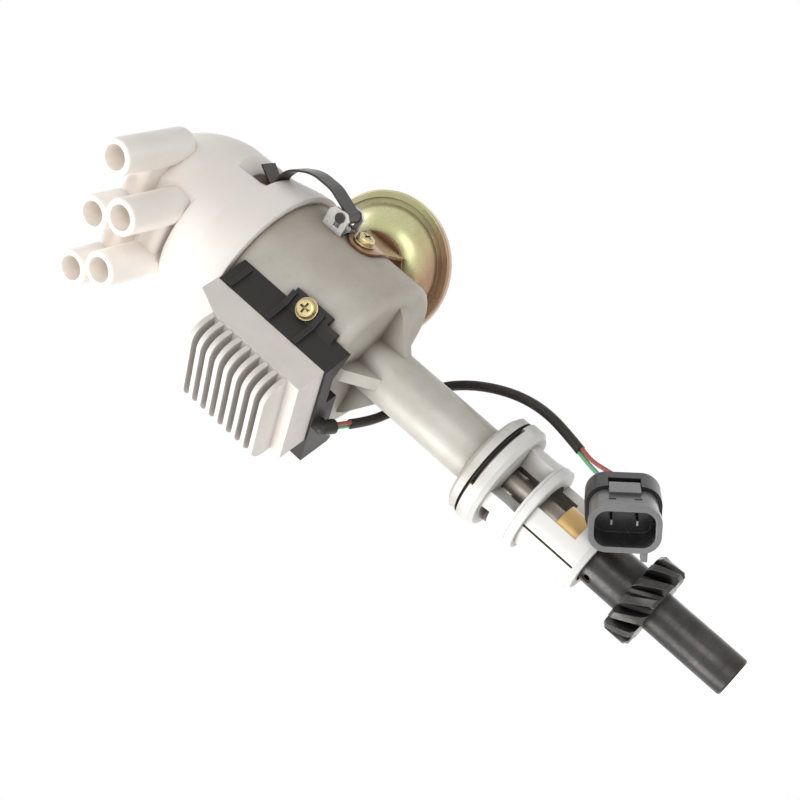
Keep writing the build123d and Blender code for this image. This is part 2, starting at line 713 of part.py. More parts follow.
def seal_ring():
    """Rubber ring in the groove between the flanges."""
    section = GROOVE_HEIGHT / 2
    centre = UPPER_FLANGE_RADIUS - GROOVE_DEPTH + section
    return Pos(0, 0, GROOVE_BOTTOM_Z + section) * Torus(centre, section)


# Shaft, bushes and drive gear
def main_shaft():
    """Stepped steel shaft from the gear's tail to the advance sleeve."""
    shaft = disc(SHAFT_RADIUS, GEAR_BOTTOM_Z - SHAFT_IN_TAIL, YOKE_Z)
    shaft += disc(SHAFT_NECK, YOKE_Z, SHAFT_TOP_Z)
    shaft = chamfer(shaft.edges().filter_by(GeomType.CIRCLE).sort_by(Axis.Z)[-1], SHAFT_CHAMFER)
    return shaft - pin_hole()


def lower_bush():
    """Bronze bush pressed into the lower sleeve."""
    return ring(LOWER_BUSH_RADIUS, SHAFT_RADIUS + RUNNING_FIT, RECESS_Z, CHAMBER_BOTTOM_Z)


def upper_bush():
    """Bronze bush pressed into the floor boss of the bowl."""
    bottom = BOSS_TOP_Z - UPPER_BUSH_HEIGHT
    return ring(UPPER_BUSH_RADIUS, SHAFT_RADIUS + RUNNING_FIT, bottom, BOSS_TOP_Z)


def thrust_washer():
    """Steel washer between the lower bush and the gear's hub."""
    top = RECESS_Z - RUNNING_FIT
    return ring(HUB_RADIUS, SHAFT_RADIUS + RUNNING_FIT, top - WASHER_THICKNESS, top)


def gear_outline():
    """Transverse section of the gear: curved flanks on a root circle."""
    pitch = 2 * pi / GEAR_TEETH
    root_half = GEAR_ROOT * pitch * TOOTH_ROOT_SHARE / 2
    tip_half = GEAR_RADIUS * pitch * TOOTH_TIP_SHARE / 2
    middle = (GEAR_ROOT + GEAR_RADIUS) / 2
    middle_half = (root_half + tip_half) / 2 + LOOSE_FIT
    inside = GEAR_ROOT - OVERRUN
    tip = GEAR_RADIUS + OVERRUN / 2
    tooth = make_face(
        Line((inside, -root_half), (GEAR_ROOT, -root_half))
        + ThreePointArc((GEAR_ROOT, -root_half), (middle, -middle_half), (tip, -tip_half))
        + Line((tip, -tip_half), (tip, tip_half))
        + ThreePointArc((tip, tip_half), (middle, middle_half), (GEAR_ROOT, root_half))
        + Line((GEAR_ROOT, root_half), (inside, root_half))
        + Line((inside, root_half), (inside, -root_half))
    )
    outline = Circle(GEAR_ROOT)
    for index in range(GEAR_TEETH):
        outline += Rot(0, 0, index * degrees(pitch)) * tooth
    return outline & Circle(GEAR_RADIUS)


def gear_teeth():
    """Helical rim of the gear, bevelled at both ends, standing on Z = 0."""
    twist = degrees(GEAR_WIDTH * tan(radians(HELIX_ANGLE)) / GEAR_RADIUS)
    section = gear_outline().face()
    teeth = Solid.extrude_linear_with_rotation(section, (0, 0, 0), (0, 0, GEAR_WIDTH), -twist)
    past = GEAR_RADIUS + OVERRUN
    bevel = turned(
        (0, 0),
        (GEAR_RADIUS - GEAR_EDGE, 0),
        (past, GEAR_EDGE + OVERRUN),
        (past, GEAR_WIDTH - GEAR_EDGE - OVERRUN),
        (GEAR_RADIUS - GEAR_EDGE, GEAR_WIDTH),
        (0, GEAR_WIDTH),
    )
    return teeth & bevel


def drive_gear():
    """Hub, helical teeth and tail journal turned from one bar."""
    tail = disc(TAIL_RADIUS, TAIL_END_Z, GEAR_BOTTOM_Z + OVERRUN)
    tail = chamfer(tail.edges().filter_by(GeomType.CIRCLE).sort_by(Axis.Z)[0], TAIL_CHAMFER)
    gear = Pos(0, 0, GEAR_BOTTOM_Z) * gear_teeth()
    gear += disc(HUB_RADIUS, GEAR_TOP_Z - OVERRUN, HUB_TOP_Z) + tail
    gear -= disc(SHAFT_RADIUS, GEAR_BOTTOM_Z - SHAFT_IN_TAIL, HUB_TOP_Z + OVERRUN)
    return gear - pin_hole()


def pin_line(reach):
    """The two ends of a line across the hub where the roll pin lies."""
    z = HUB_TOP_Z - ROLL_PIN_DROP
    return on_radius(reach, ROLL_PIN_AZIMUTH, z), on_radius(reach, ROLL_PIN_AZIMUTH + 180, z)


def pin_hole():
    """Hole for the roll pin through hub and shaft."""
    return rod(*pin_line(HUB_RADIUS + OVERRUN), ROLL_PIN_RADIUS)


def roll_pin():
    """Hollow pin rolled from strip, through the gear's hub and the shaft."""
    near, far = pin_line(HUB_RADIUS - ROLL_PIN_SINK)
    bore = ROLL_PIN_RADIUS - ROLL_PIN_WALL
    return rod(near, far, ROLL_PIN_RADIUS) - rod(*pin_line(HUB_RADIUS), bore)


# Centrifugal governor: pivots lie on the X axis and the weights trail towards -Y
def weight_turns():
    """Turn of each weight about the shaft."""
    return [index * 360 / WEIGHTS for index in range(WEIGHTS)]


def fixed_post():
    """Place of the plate's spring post."""
    return on_radius(FIXED_POST_OFFSET, 90 - FIXED_POST_AZIMUTH, 0)


def weight_post():
    """Place of the weight's spring post."""
    azimuth = 90 - WEIGHT_START_AZIMUTH - WEIGHT_ARC + POST_END_ARC
    return on_radius((WEIGHT_INNER + WEIGHT_OUTER) / 2, azimuth, 0)


def governor_plate():
    """Plate on the shaft with the weight pivots and spring posts."""
    plate = disc(GOVERNOR_RADIUS, GOVERNOR_Z, GOVERNOR_Z + GOVERNOR_THICKNESS)
    plate += disc(GOVERNOR_HUB, BOSS_TOP_Z + LOOSE_FIT, GOVERNOR_Z)
    pivot = Pos(PIVOT_OFFSET, 0, GOVERNOR_Z) * post(PIVOT_RADIUS, WEIGHT_TOP_Z - GOVERNOR_Z)
    spring_post = Pos(*fixed_post()) * disc(POST_RADIUS, GOVERNOR_Z, SPRING_Z + OVERRUN)
    for turn in weight_turns():
        plate += Rot(0, 0, turn) * (pivot + spring_post)
    return plate - disc(SHAFT_RADIUS, BOSS_TOP_Z, GOVERNOR_Z + GOVERNOR_THICKNESS + OVERRUN)


def governor_weight(turn):
    """Curved weight with its pivot eye, drive pin and spring post."""
    start = 90 - WEIGHT_START_AZIMUTH - WEIGHT_ARC
    weight = sector(WEIGHT_INNER, WEIGHT_OUTER, WEIGHT_Z, WEIGHT_TOP_Z, start, WEIGHT_ARC)
    weight += Pos(PIVOT_OFFSET, 0, WEIGHT_Z) * post(WEIGHT_EYE, WEIGHT_THICKNESS)
    reach = PIVOT_OFFSET - DRIVE_OFFSET
    arm = Box(reach, WEIGHT_ARM, WEIGHT_THICKNESS, align=(LOW, MID, LOW))
    weight += Pos(DRIVE_OFFSET, 0, WEIGHT_Z) * (arm + post(WEIGHT_ARM / 2, WEIGHT_THICKNESS))
    bridge = block(WEIGHT_ARM * 1.5, WEIGHT_BRIDGE, WEIGHT_THICKNESS)
    weight += Pos(PIVOT_OFFSET + DRIVE_RADIUS * 2, 0, WEIGHT_Z) * bridge
    weight += Pos(DRIVE_OFFSET, 0, 0) * disc(DRIVE_RADIUS, WEIGHT_Z, YOKE_TOP_Z)
    weight += Pos(*weight_post()) * disc(POST_RADIUS, WEIGHT_TOP_Z - OVERRUN, SPRING_Z + OVERRUN)
    eye_hole = disc(PIVOT_RADIUS + RUNNING_FIT, WEIGHT_Z - OVERRUN, WEIGHT_TOP_Z + OVERRUN)
    weight -= Pos(PIVOT_OFFSET, 0, 0) * eye_hole
    weight -= disc(SHAFT_RADIUS + LOOSE_FIT, WEIGHT_Z - OVERRUN, YOKE_TOP_Z)
    return Rot(0, 0, turn) * weight


def governor_springs():
    """Two return springs between the plate's posts and the weights' posts."""
    start = weight_post() + Vector(0, 0, SPRING_Z)
    end = fixed_post() + Vector(0, 0, SPRING_Z)
    inset = (end - start).normalized() * (POST_RADIUS + LOOSE_FIT)
    spring = rod(start + inset, end - inset, SPRING_RADIUS)
    return Compound(children=[Rot(0, 0, turn) * spring for turn in weight_turns()])


# Advance sleeve, reluctor and rotor
def cam_sleeve():
    """Tube on the shaft's neck with the yoke that the weights turn."""
    foot_z = YOKE_Z + LOOSE_FIT
    sleeve = disc(SLEEVE_OUTER, foot_z, SOCKET_Z) + disc(YOKE_RADIUS, foot_z, YOKE_TOP_Z)
    sleeve -= disc(SHAFT_NECK + RUNNING_FIT, YOKE_Z, SHAFT_TOP_Z + LOOSE_FIT)
    slot = SlotOverall(2 * (DRIVE_RADIUS + CLEARANCE) + OVERRUN, 2 * (DRIVE_RADIUS + LOOSE_FIT))
    cut = extrude(slot, YOKE_THICKNESS + OVERRUN)
    for turn in weight_turns():
        sleeve -= Rot(0, 0, turn) * Pos(DRIVE_OFFSET, 0, YOKE_Z) * cut
    return sleeve


def reluctor():
    """Four-lobed wheel pressed on the sleeve."""
    top = RELUCTOR_Z + RELUCTOR_THICKNESS
    wheel = disc(RELUCTOR_ROOT, RELUCTOR_Z, top)
    lobe = Box(RELUCTOR_RADIUS, RELUCTOR_LOBE, RELUCTOR_THICKNESS, align=(LOW, MID, LOW))
    for index in range(LOBES):
        wheel += Rot(0, 0, (index + 0.5) * 360 / LOBES) * Pos(0, 0, RELUCTOR_Z) * lobe
    wheel &= disc(RELUCTOR_RADIUS, RELUCTOR_Z, top)
    return wheel - disc(SLEEVE_OUTER, RELUCTOR_Z - OVERRUN, top + OVERRUN)


def rotor():
    """Moulded rotor arm with its hub and skirt."""
    body = turned(
        (0, ROTOR_Z),
        (ROTOR_SKIRT_RADIUS, ROTOR_Z),
        (ROTOR_SKIRT_RADIUS, ROTOR_Z + ROTOR_SKIRT_EDGE),
        (ROTOR_HUB_RADIUS, ROTOR_Z + ROTOR_SKIRT_RISE),
        (ROTOR_HUB_RADIUS, ROTOR_TOP_Z),
        (0, ROTOR_TOP_Z),
    )
    arm = Box(ROTOR_REACH, ROTOR_ARM_WIDTH, ROTOR_ARM_THICKNESS, align=(LOW, MID, HIGH))
    tail = Box(ROTOR_SKIRT_RADIUS, CONTACT_WIDTH, ROTOR_ARM_THICKNESS, align=(HIGH, MID, HIGH))
    body += Pos(0, 0, ROTOR_TOP_Z) * (arm + tail)
    return body - disc(SLEEVE_OUTER, ROTOR_Z - OVERRUN, SOCKET_Z)


def rotor_contact():
    """Brass strip on the rotor arm."""
    length = ROTOR_REACH + CONTACT_OVERHANG
    strip = Box(length, CONTACT_WIDTH, CONTACT_THICKNESS, align=(LOW, MID, LOW))
    return Pos(0, 0, ROTOR_TOP_Z) * (strip + post(CONTACT_PAD, CONTACT_THICKNESS))


# Pickup
def pickup_base():
    """Fixed plate with the collar that the pickup plate turns on."""
    plate = ring(BOWL_INNER - LOOSE_FIT, COLLAR_BORE, BASE_Z, BASE_TOP_Z)
    plate += ring(COLLAR_RADIUS, COLLAR_BORE, BASE_Z, PICKUP_TOP_Z + COLLAR_RISE)
    for azimuth in BASE_SCREW_AZIMUTHS:
        plate -= base_screw_hole(azimuth, PLATE_THICKNESS + OVERRUN)
    return plate


def base_screws():
    """Screws that hold the base plate on the bowl's lugs."""
    piece = screw(BASE_SCREW_HEAD, BASE_SCREW_HEIGHT, BASE_SCREW_HEAD / 2, PLATE_THICKNESS + BASE_SCREW_GRIP)
    places = [on_radius(BASE_SCREW_OFFSET, azimuth, BASE_TOP_Z) for azimuth in BASE_SCREW_AZIMUTHS]
    return Compound(children=[Pos(*place) * piece for place in places])


def link_pin_place():
    """Where the link rod's eye holds the pickup plate, at rest."""
    along = on_radius(-ROD_TRAVEL / 2, CANISTER_AZIMUTH, 0)
    return along + on_radius(CANISTER_OFFSET, CANISTER_AZIMUTH + 90, 0)


def pickup_plate():
    """Turning plate that carries the pickup coil, with the link pin."""
    plate = ring(PICKUP_RADIUS, COLLAR_RADIUS + RUNNING_FIT, PICKUP_Z, PICKUP_TOP_Z)
    top = ROD_Z + ROD_THICKNESS + LINK_PIN_RISE
    return plate + Pos(*link_pin_place()) * disc(LINK_PIN_RADIUS, PICKUP_Z, top)


def pickup_core():
    """Iron pole that faces the reluctor, on its foot."""
    tip = RELUCTOR_RADIUS + POLE_GAP
    pole_z = RELUCTOR_Z + (RELUCTOR_THICKNESS - POLE_HEIGHT) / 2
    outer = PICKUP_RADIUS - POLE_FOOT_DEPTH
    pole = Pos(0, -tip, pole_z) * block(POLE_WIDTH, outer - tip, POLE_HEIGHT)
    foot = block(POLE_FOOT_WIDTH, POLE_FOOT_DEPTH, pole_z + POLE_HEIGHT - PICKUP_TOP_Z)
    foot = Pos(0, -outer + POLE_FOOT_DEPTH / 2, PICKUP_TOP_Z) * foot
    return station(PICKUP_AZIMUTH) * (pole + foot)


def pickup_coil():
    """Wound bobbin round the pole."""
    height = RELUCTOR_Z + RELUCTOR_THICKNESS + LOOSE_FIT - PICKUP_TOP_Z
    bobbin = block(COIL_WIDTH, COIL_DEPTH, height)
    bobbin = fillet(bobbin.edges().filter_by(Axis.Y), COIL_CORNER)
    middle = (RELUCTOR_RADIUS + PICKUP_RADIUS - COIL_DEPTH) / 2
    return station(PICKUP_AZIMUTH) * Pos(0, -middle, PICKUP_TOP_Z) * bobbin - pickup_core()


# Vacuum canister
def at_canister(piece):
    """Moves a piece from the canister's own axis to its place: Z there points away from the shaft."""
    outward = on_radius(1, CANISTER_AZIMUTH, 0)
    sideways = on_radius(1, CANISTER_AZIMUTH + 90, 0)
    origin = sideways * CANISTER_OFFSET + Vector(0, 0, CANISTER_Z)
    return Plane(origin=origin, x_dir=sideways, z_dir=outward) * piece


def canister_inner_shell():
    """Domed half that faces the bowl, with its hole for the rod and its flat rim."""
    edge = INNER_RIM_RADIUS - RIM_STEP
    lap = INNER_RIM_RADIUS + RIM_LAP
    plane = RIM_PLANE - SHELL_THICKNESS
    middle = ((DISH_FLAT + edge) / 2 + DISH_BULGE, DISH_PLANE + DISH_DEPTH / 2 - DISH_BULGE)
    inner_plane = DISH_PLANE + SHELL_THICKNESS
    inner_middle = (middle[0] - SHELL_THICKNESS / 2, middle[1] + SHELL_THICKNESS)
    inner_edge = edge - SHELL_THICKNESS / 2
    wall = make_face(
        Line((DISH_HOLE, DISH_PLANE), (DISH_FLAT, DISH_PLANE))
        + ThreePointArc((DISH_FLAT, DISH_PLANE), middle, (edge, plane))
        + Line((edge, plane), (lap, plane))
        + Line((lap, plane), (lap, RIM_PLANE))
        + Line((lap, RIM_PLANE), (inner_edge, RIM_PLANE))
        + ThreePointArc((inner_edge, RIM_PLANE), inner_middle, (DISH_FLAT, inner_plane))
        + Line((DISH_FLAT, inner_plane), (DISH_HOLE, inner_plane))
        + Line((DISH_HOLE, inner_plane), (DISH_HOLE, DISH_PLANE))
    )
    return at_canister(revolve(Plane.XZ * wall, Axis.Z))


def canister_outer_shell():
    """Outer half with the rolled rim that grips the inner half."""
    inner = INNER_RIM_RADIUS - SHELL_THICKNESS / 2
    lap = INNER_RIM_RADIUS + RIM_LAP
    step = INNER_RIM_RADIUS - RIM_STEP
    crest = CANISTER_RADIUS - RIM_EDGE
    web_top = RIM_PLANE + WEB_THICKNESS
    outside = web_top + SHELL_THICKNESS
    lip = RIM_PLANE - 2 * SHELL_THICKNESS
    rim = turned(
        (inner, lip),
        (crest, lip),
        (CANISTER_RADIUS, lip + RIM_EDGE),
        (CANISTER_RADIUS, outside - RIM_EDGE),
        (crest, outside),
        (step, outside),
        (step, web_top),
        (lap, web_top),
        (lap, RIM_PLANE - SHELL_THICKNESS),
        (inner, RIM_PLANE - SHELL_THICKNESS),
    )
    dish = turned(
        (NIPPLE_RADIUS, BACK_PLANE),
        (BACK_FLAT, BACK_PLANE),
        (step, web_top),
        (step + SHELL_THICKNESS, web_top),
        (step + SHELL_THICKNESS, outside),
        (BACK_FLAT + SHELL_THICKNESS, BACK_PLANE + SHELL_THICKNESS),
        (NIPPLE_RADIUS, BACK_PLANE + SHELL_THICKNESS),
    )
    return at_canister(rim + dish)


def diaphragm():
    """Rubber web gripped between the halves, round the moving plate."""
    outer = INNER_RIM_RADIUS + RIM_LAP
    return at_canister(ring(outer, PISTON_RADIUS + LOOSE_FIT, RIM_PLANE, RIM_PLANE + WEB_THICKNESS))


def diaphragm_plate():
    """Steel plate in the middle of the diaphragm, with the cup that the spring sits in."""
    plate = disc(PISTON_RADIUS, RIM_PLANE, RIM_PLANE + WEB_THICKNESS)
    cup_z = RIM_PLANE + WEB_THICKNESS + PISTON_CUP_HEIGHT
    return at_canister(plate + ring(PISTON_CUP, PISTON_CUP - WEB_THICKNESS, RIM_PLANE, cup_z))


def diaphragm_spring():
    """Return spring at its shortest, as the sleeve that its turns fill."""
    bottom = RIM_PLANE + WEB_THICKNESS + ROD_TRAVEL + LOOSE_FIT
    radius = PISTON_CUP - WEB_THICKNESS - LOOSE_FIT
    return at_canister(ring(radius, radius - SPRING_WALL, bottom, BACK_PLANE))


def hose_nipple():
    """Brass nipple for the vacuum hose, on the outer half."""
    end = BACK_PLANE + NIPPLE_LENGTH
    nipple = disc(NIPPLE_RADIUS, BACK_PLANE, end)
    nipple = chamfer(nipple.edges().filter_by(GeomType.CIRCLE).sort_by(Axis.Z)[-1], NIPPLE_CHAMFER)
    seat = BACK_PLANE + SHELL_THICKNESS
    nipple += disc(NIPPLE_RADIUS + NIPPLE_FLANGE, seat, seat + SHELL_THICKNESS)
    return at_canister(nipple - disc(NIPPLE_BORE, BACK_PLANE - OVERRUN, end + OVERRUN))


def link_rod():
    """Flat rod from the diaphragm to the pickup plate's pin."""
    start = -ROD_TRAVEL / 2
    bar = Box(ROD_WIDTH, ROD_THICKNESS, RIM_PLANE - start, align=(MID, MID, LOW))
    eye = Rot(90, 0, 0) * Cylinder(ROD_EYE, ROD_THICKNESS)
    hole = Rot(90, 0, 0) * Cylinder(LINK_PIN_RADIUS + LOOSE_FIT, ROD_THICKNESS + 2 * OVERRUN)
    return at_canister(Pos(0, 0, start) * (bar + eye - hole))


def strap_ear(start, end):
    """Part of the strap that lies on the bowl."""
    outer = BOWL_RADIUS + STRAP_THICKNESS
    return sector(BOWL_RADIUS, outer, STRAP_BOTTOM_Z, STRAP_BOTTOM_Z + STRAP_HEIGHT, start, end - start)


def arm_line():
    """Foot, direction and length of the front arm's middle line, up to the canister's face."""
    leave = on_radius(BOWL_RADIUS, STRAP_LEAVE_AZIMUTH, 0)
    along = on_radius(1, STRAP_LEAVE_AZIMUTH + 90, 0)
    outward = on_radius(1, CANISTER_AZIMUTH, 0)
    return leave, along, (DISH_PLANE + OVERRUN - leave.dot(outward)) / along.dot(outward)


def front_arm():
    """Arm that leaves the bowl at a tangent and rises to the canister's axis."""
    leave, along, reach = arm_line()
    top = STRAP_BOTTOM_Z + STRAP_HEIGHT
    end_low = CANISTER_Z - ARM_HEIGHT / 2
    outline = make_face(
        Polyline(
            (0, STRAP_BOTTOM_Z),
            (reach, end_low),
            (reach, end_low + ARM_HEIGHT),
            (0, top),
            close=True,
        )
    )
    tangent = Plane(origin=leave, x_dir=along, z_dir=on_radius(1, STRAP_LEAVE_AZIMUTH, 0))
    return tangent * extrude(outline, STRAP_THICKNESS)


def rear_arm():
    """Short arm from the foot to the rear ear, square to the canister's face."""
    across = CANISTER_OFFSET + REAR_ARM_ACROSS
    start = sqrt(BOWL_RADIUS ** 2 - across ** 2)
    arm = Box(STRAP_THICKNESS, STRAP_HEIGHT, DISH_PLANE - start, align=(MID, LOW, LOW))
    return Pos(REAR_ARM_ACROSS, STRAP_BOTTOM_Z - CANISTER_Z, start) * arm


def bracket_foot():
    """Round foot on the canister's face, reaching down to the rear arm."""
    low = STRAP_BOTTOM_Z - CANISTER_Z
    width = REAR_ARM_ACROSS + STRAP_THICKNESS / 2
    tail = Box(width, -low - DISH_HOLE, STRAP_THICKNESS, align=(LOW, LOW, LOW))
    leave, along, reach = arm_line()
    landing = (leave + along * reach).dot(on_radius(1, CANISTER_AZIMUTH + 90, 0)) - CANISTER_OFFSET
    bar = Box(-landing, ARM_HEIGHT / 2, STRAP_THICKNESS, align=(HIGH, MID, LOW))
    foot = post(FOOT_RADIUS, STRAP_THICKNESS) + Pos(0, low, 0) * tail + bar
    return Pos(0, 0, DISH_PLANE - STRAP_THICKNESS) * (foot - post(DISH_HOLE, STRAP_THICKNESS))


def canister_bracket():
    """Bent strap: ear on the bowl, arm to the canister's foot and a second ear behind."""
    front = strap_ear(STRAP_START_AZIMUTH, STRAP_LEAVE_AZIMUTH)
    nose = on_radius(BOWL_RADIUS, STRAP_START_AZIMUTH, STRAP_BOTTOM_Z + STRAP_HEIGHT / 2)
    lines = front.edges().filter_by(GeomType.LINE)
    corners = lines.filter_by(lambda edge: edge.length < 2 * STRAP_THICKNESS)
    front = fillet(corners.sort_by_distance(nose)[:2], STRAP_HEIGHT * 0.45)
    bracket = front + front_arm() - at_canister(disc(CANISTER_RADIUS, DISH_PLANE, RIM_PLANE))
    bracket += strap_ear(REAR_EAR_START_AZIMUTH, REAR_EAR_END_AZIMUTH)
    bracket += at_canister(rear_arm() + bracket_foot())
    outer = BOWL_RADIUS + STRAP_THICKNESS + OVERRUN
    for azimuth in STRAP_SCREW_AZIMUTHS:
        bracket -= radial_hole(SCREW_SHANK, azimuth, STRAP_SCREW_Z, BOWL_INNER, outer)
    return bracket - disc(BOWL_RADIUS, BOWL_BOTTOM_Z, RIM_Z)


def bracket_screws():
    """Two screws that hold the strap on the bowl."""
    seat = BOWL_RADIUS + STRAP_THICKNESS
    length = STRAP_THICKNESS + BOWL_WALL + SCREW_END
    screws = [radial_screw(azimuth, STRAP_SCREW_Z, seat, length) for azimuth in STRAP_SCREW_AZIMUTHS]
    return Compound(children=screws)


# Ignition module, built on the -Y side and turned to its azimuth
def plan(points, bottom, top):
    """A plate from points of tangential place and distance from the shaft."""
    outline = make_face(Polyline(*[(across, -out) for across, out in points], close=True))
    return Pos(0, 0, bottom) * extrude(outline, top - bottom)


def heat_sink():
    """Cast cooler: chamfered base block with rounded horizontal fins."""
    back = -SINK_FACE - SINK_DEPTH
    base = Plane.YZ * make_face(
        Polyline(
            (-SINK_FACE, MODULE_TOP_Z),
            (back + SINK_CHAMFER_IN, MODULE_TOP_Z),
            (back, MODULE_TOP_Z - SINK_CHAMFER_DOWN),
            (back, MODULE_BOTTOM_Z),
            (-SINK_FACE, MODULE_BOTTOM_Z),
            close=True,
        )
    )
    sink = Pos(SINK_LEFT, 0, 0) * extrude(base, SINK_RIGHT - SINK_LEFT)
    fin = RectangleRounded(SINK_RIGHT - SINK_LEFT - 2 * FIN_MARGIN, 2 * FIN_DEPTH, FIN_CORNER)
    plate = extrude(fin, FIN_THICKNESS / 2, both=True)
    first = Pos((SINK_LEFT + SINK_RIGHT) / 2, back, MODULE_TOP_Z - FIRST_FIN_DROP)
    for index in range(FINS):
        sink += first * Pos(0, 0, -index * FIN_PITCH) * plate
    return station(MODULE_AZIMUTH) * sink


def case_body():
    """Case between cooler and bowl: full depth above the step, slimmer below it."""
    flare = SINK_RIGHT + CASE_FLARE
    knee = SINK_FACE - CASE_KNEE
    high_back = SINK_FACE - CASE_HIGH_BACK
    low_back = SINK_FACE - CASE_LOW_BACK
    step_z = MODULE_TOP_Z - CASE_STEP_DROP
    front = ((SINK_RIGHT, SINK_FACE), (flare, knee), (flare, CASE_FRONT))
    low = plan(
        (*front, (CASE_LEFT + CASE_BEVEL, CASE_FRONT), (CASE_LEFT, low_back), (CASE_LEFT, SINK_FACE)),
        CASE_LOW_Z,
        step_z,
    )
    high = plan(
        (*front, (CASE_LEFT + 6 * CASE_BEVEL, CASE_FRONT), (CASE_LEFT, high_back), (CASE_LEFT, SINK_FACE)),
        step_z - OVERRUN,
        MODULE_TOP_Z - CASE_INSET,
    )
    skirt = plan(
        (
            (SINK_RIGHT, SINK_FACE),
            (flare, knee),
            (flare, knee - 2 * CASE_BEVEL),
            (flare - CASE_KNEE, knee + 2 * CASE_BEVEL),
            (SINK_LEFT, knee + 2 * CASE_BEVEL),
            (CASE_LEFT + CASE_BEVEL, low_back - CASE_BEVEL),
            (CASE_LEFT, low_back),
            (CASE_LEFT, SINK_FACE),
        ),
        CASE_BOTTOM_Z,
        CASE_LOW_Z,
    )
    return low + high + skirt


def case_tab(start, end, bottom, top):
    """Part of the case that lies on the bowl, between two turns from the module's middle."""
    return sector(BOWL_RADIUS - OVERRUN, BOWL_RADIUS + TAB_THICKNESS, bottom, top, start, end - start)


def case_ribs():
    """Two ribs that run from the cooler onto the tab, and the ridge near the case's top."""
    flare = SINK_RIGHT + CASE_FLARE
    start = SINK_FACE - CASE_INSET
    knee = SINK_FACE - CASE_KNEE
    end_a = radians(TAB_END_AZIMUTH - TAB_STEP_ARC / 2)
    outer = BOWL_RADIUS + TAB_THICKNESS + RIB_WIDTH / 2
    inner = BOWL_RADIUS + TAB_THICKNESS - RIB_WIDTH / 2
    outline = (
        (SINK_RIGHT - CASE_BEVEL, start),
        (SINK_RIGHT + CASE_FLARE, start),
        (flare + CASE_BEVEL, knee),
        (outer * sin(end_a), outer * cos(end_a)),
        (inner * sin(end_a), inner * cos(end_a)),
        (flare - CASE_BEVEL, knee - RIB_WIDTH),
    )
    ribs = plan(outline, TAB_TOP_Z - RIB_HEIGHT + CLEARANCE, TAB_TOP_Z + CLEARANCE)
    ribs += plan(outline, TAB_BOTTOM_Z + RIB_HEIGHT, TAB_BOTTOM_Z + 2 * RIB_HEIGHT)
    ridge = (
        (SINK_RIGHT - CASE_BEVEL, start),
        (SINK_RIGHT + CASE_FLARE, start),
        (flare + CASE_FLARE, knee - CASE_BEVEL),
        (flare - CASE_BEVEL, knee - CASE_BEVEL),
    )
    ridge_z = MODULE_TOP_Z - 3 * RIB_HEIGHT
    return ribs + plan(ridge, ridge_z, ridge_z + RIB_HEIGHT)


def wire_boss():
    """Elbow under the case that the wires leave by, in line with the harness."""
    leave = route_start()
    mouth = Vector(CABLE_ROUTE[0]) + leave * WIRE_LEAD
    bend = mouth + leave * WIRE_BOSS_LENGTH
    elbow = rod(mouth, bend, WIRE_BOSS_RADIUS) + Pos(*bend) * Sphere(WIRE_BOSS_RADIUS)
    return elbow + rod(bend, (bend.X, bend.Y, CASE_BOTTOM_Z + OVERRUN), WIRE_BOSS_RADIUS)


def module_case():
    """Black case between the cooler and the bowl, with ribbed screw tabs."""
    body = case_body() + case_ribs()
    body += case_tab(TAB_START_AZIMUTH, TAB_END_AZIMUTH, TAB_BOTTOM_Z, TAB_TOP_Z)
    body += case_tab(TAB_START_AZIMUTH, TAB_END_AZIMUTH - TAB_STEP_ARC, CASE_LOW_Z, TAB_BOTTOM_Z + OVERRUN)
    body += case_tab(BACK_TAB_AZIMUTH, BACK_TAB_AZIMUTH + BACK_TAB_ARC, TAB_BOTTOM_Z, TAB_TOP_Z)
    body -= disc(BOWL_RADIUS, BOWL_BOTTOM_Z, RIM_Z)
    left, right = CASE_LIP_ENDS
    lip_out = SINK_FACE - CASE_LIP
    lip_outline = ((left, SINK_FACE), (right, SINK_FACE), (right, lip_out), (left, lip_out))
    lip = plan(lip_outline, CASE_BOTTOM_Z, BOWL_BOTTOM_Z - LOOSE_FIT)
    body = station(MODULE_AZIMUTH) * (body + lip) + wire_boss()
    for azimuth, z in screw_places()[:2]:
        body -= radial_hole(SCREW_SHANK, azimuth, z, BOWL_INNER, BOWL_RADIUS + TAB_THICKNESS + SCREW_END)
    return body


def module_screws():
    """Screws on the module's two tabs."""
    seat = BOWL_RADIUS + TAB_THICKNESS
    length = TAB_THICKNESS + BOWL_WALL + SCREW_END
    return Compound(children=[radial_screw(azimuth, z, seat, length) for azimuth, z in screw_places()[:2]])


# Spring clips, built on the -Y side in the plane of distance and height
def clip_azimuths():
    """Azimuths of the two clips."""
    return (CLIP_AZIMUTH, CLIP_AZIMUTH + 180)


def across_pin(radius, length):
    """A bar along the clip's pin."""
    return Pos(0, -CLIP_PIN_OUT, CLIP_PIN_Z) * Rot(0, 90, 0) * Cylinder(radius, length)


def clip_ear():
    """One ear of the bracket, in the middle plane, with the slot that the pin snaps into."""
    root = -BOWL_RADIUS + BOWL_WALL
    ear = make_face(
        Polyline(
            (root, EAR_TOP_Z),
            (-EAR_OUT + EAR_CORNER, EAR_TOP_Z),
            (-EAR_OUT, EAR_TOP_Z - EAR_CORNER),
            (-EAR_OUT, EAR_BOTTOM_Z + EAR_CORNER),
            (-EAR_OUT + EAR_CORNER, EAR_BOTTOM_Z),
            (root, EAR_BOTTOM_Z),
            close=True,
        )
    )
    slot = Pos(-CLIP_PIN_OUT + EAR_SLOT / 2, CLIP_PIN_Z) * Rectangle(EAR_SLOT, 2 * CLIP_PIN_RADIUS)
    return extrude(Plane.YZ * (ear - slot), EAR_THICKNESS / 2, both=True)


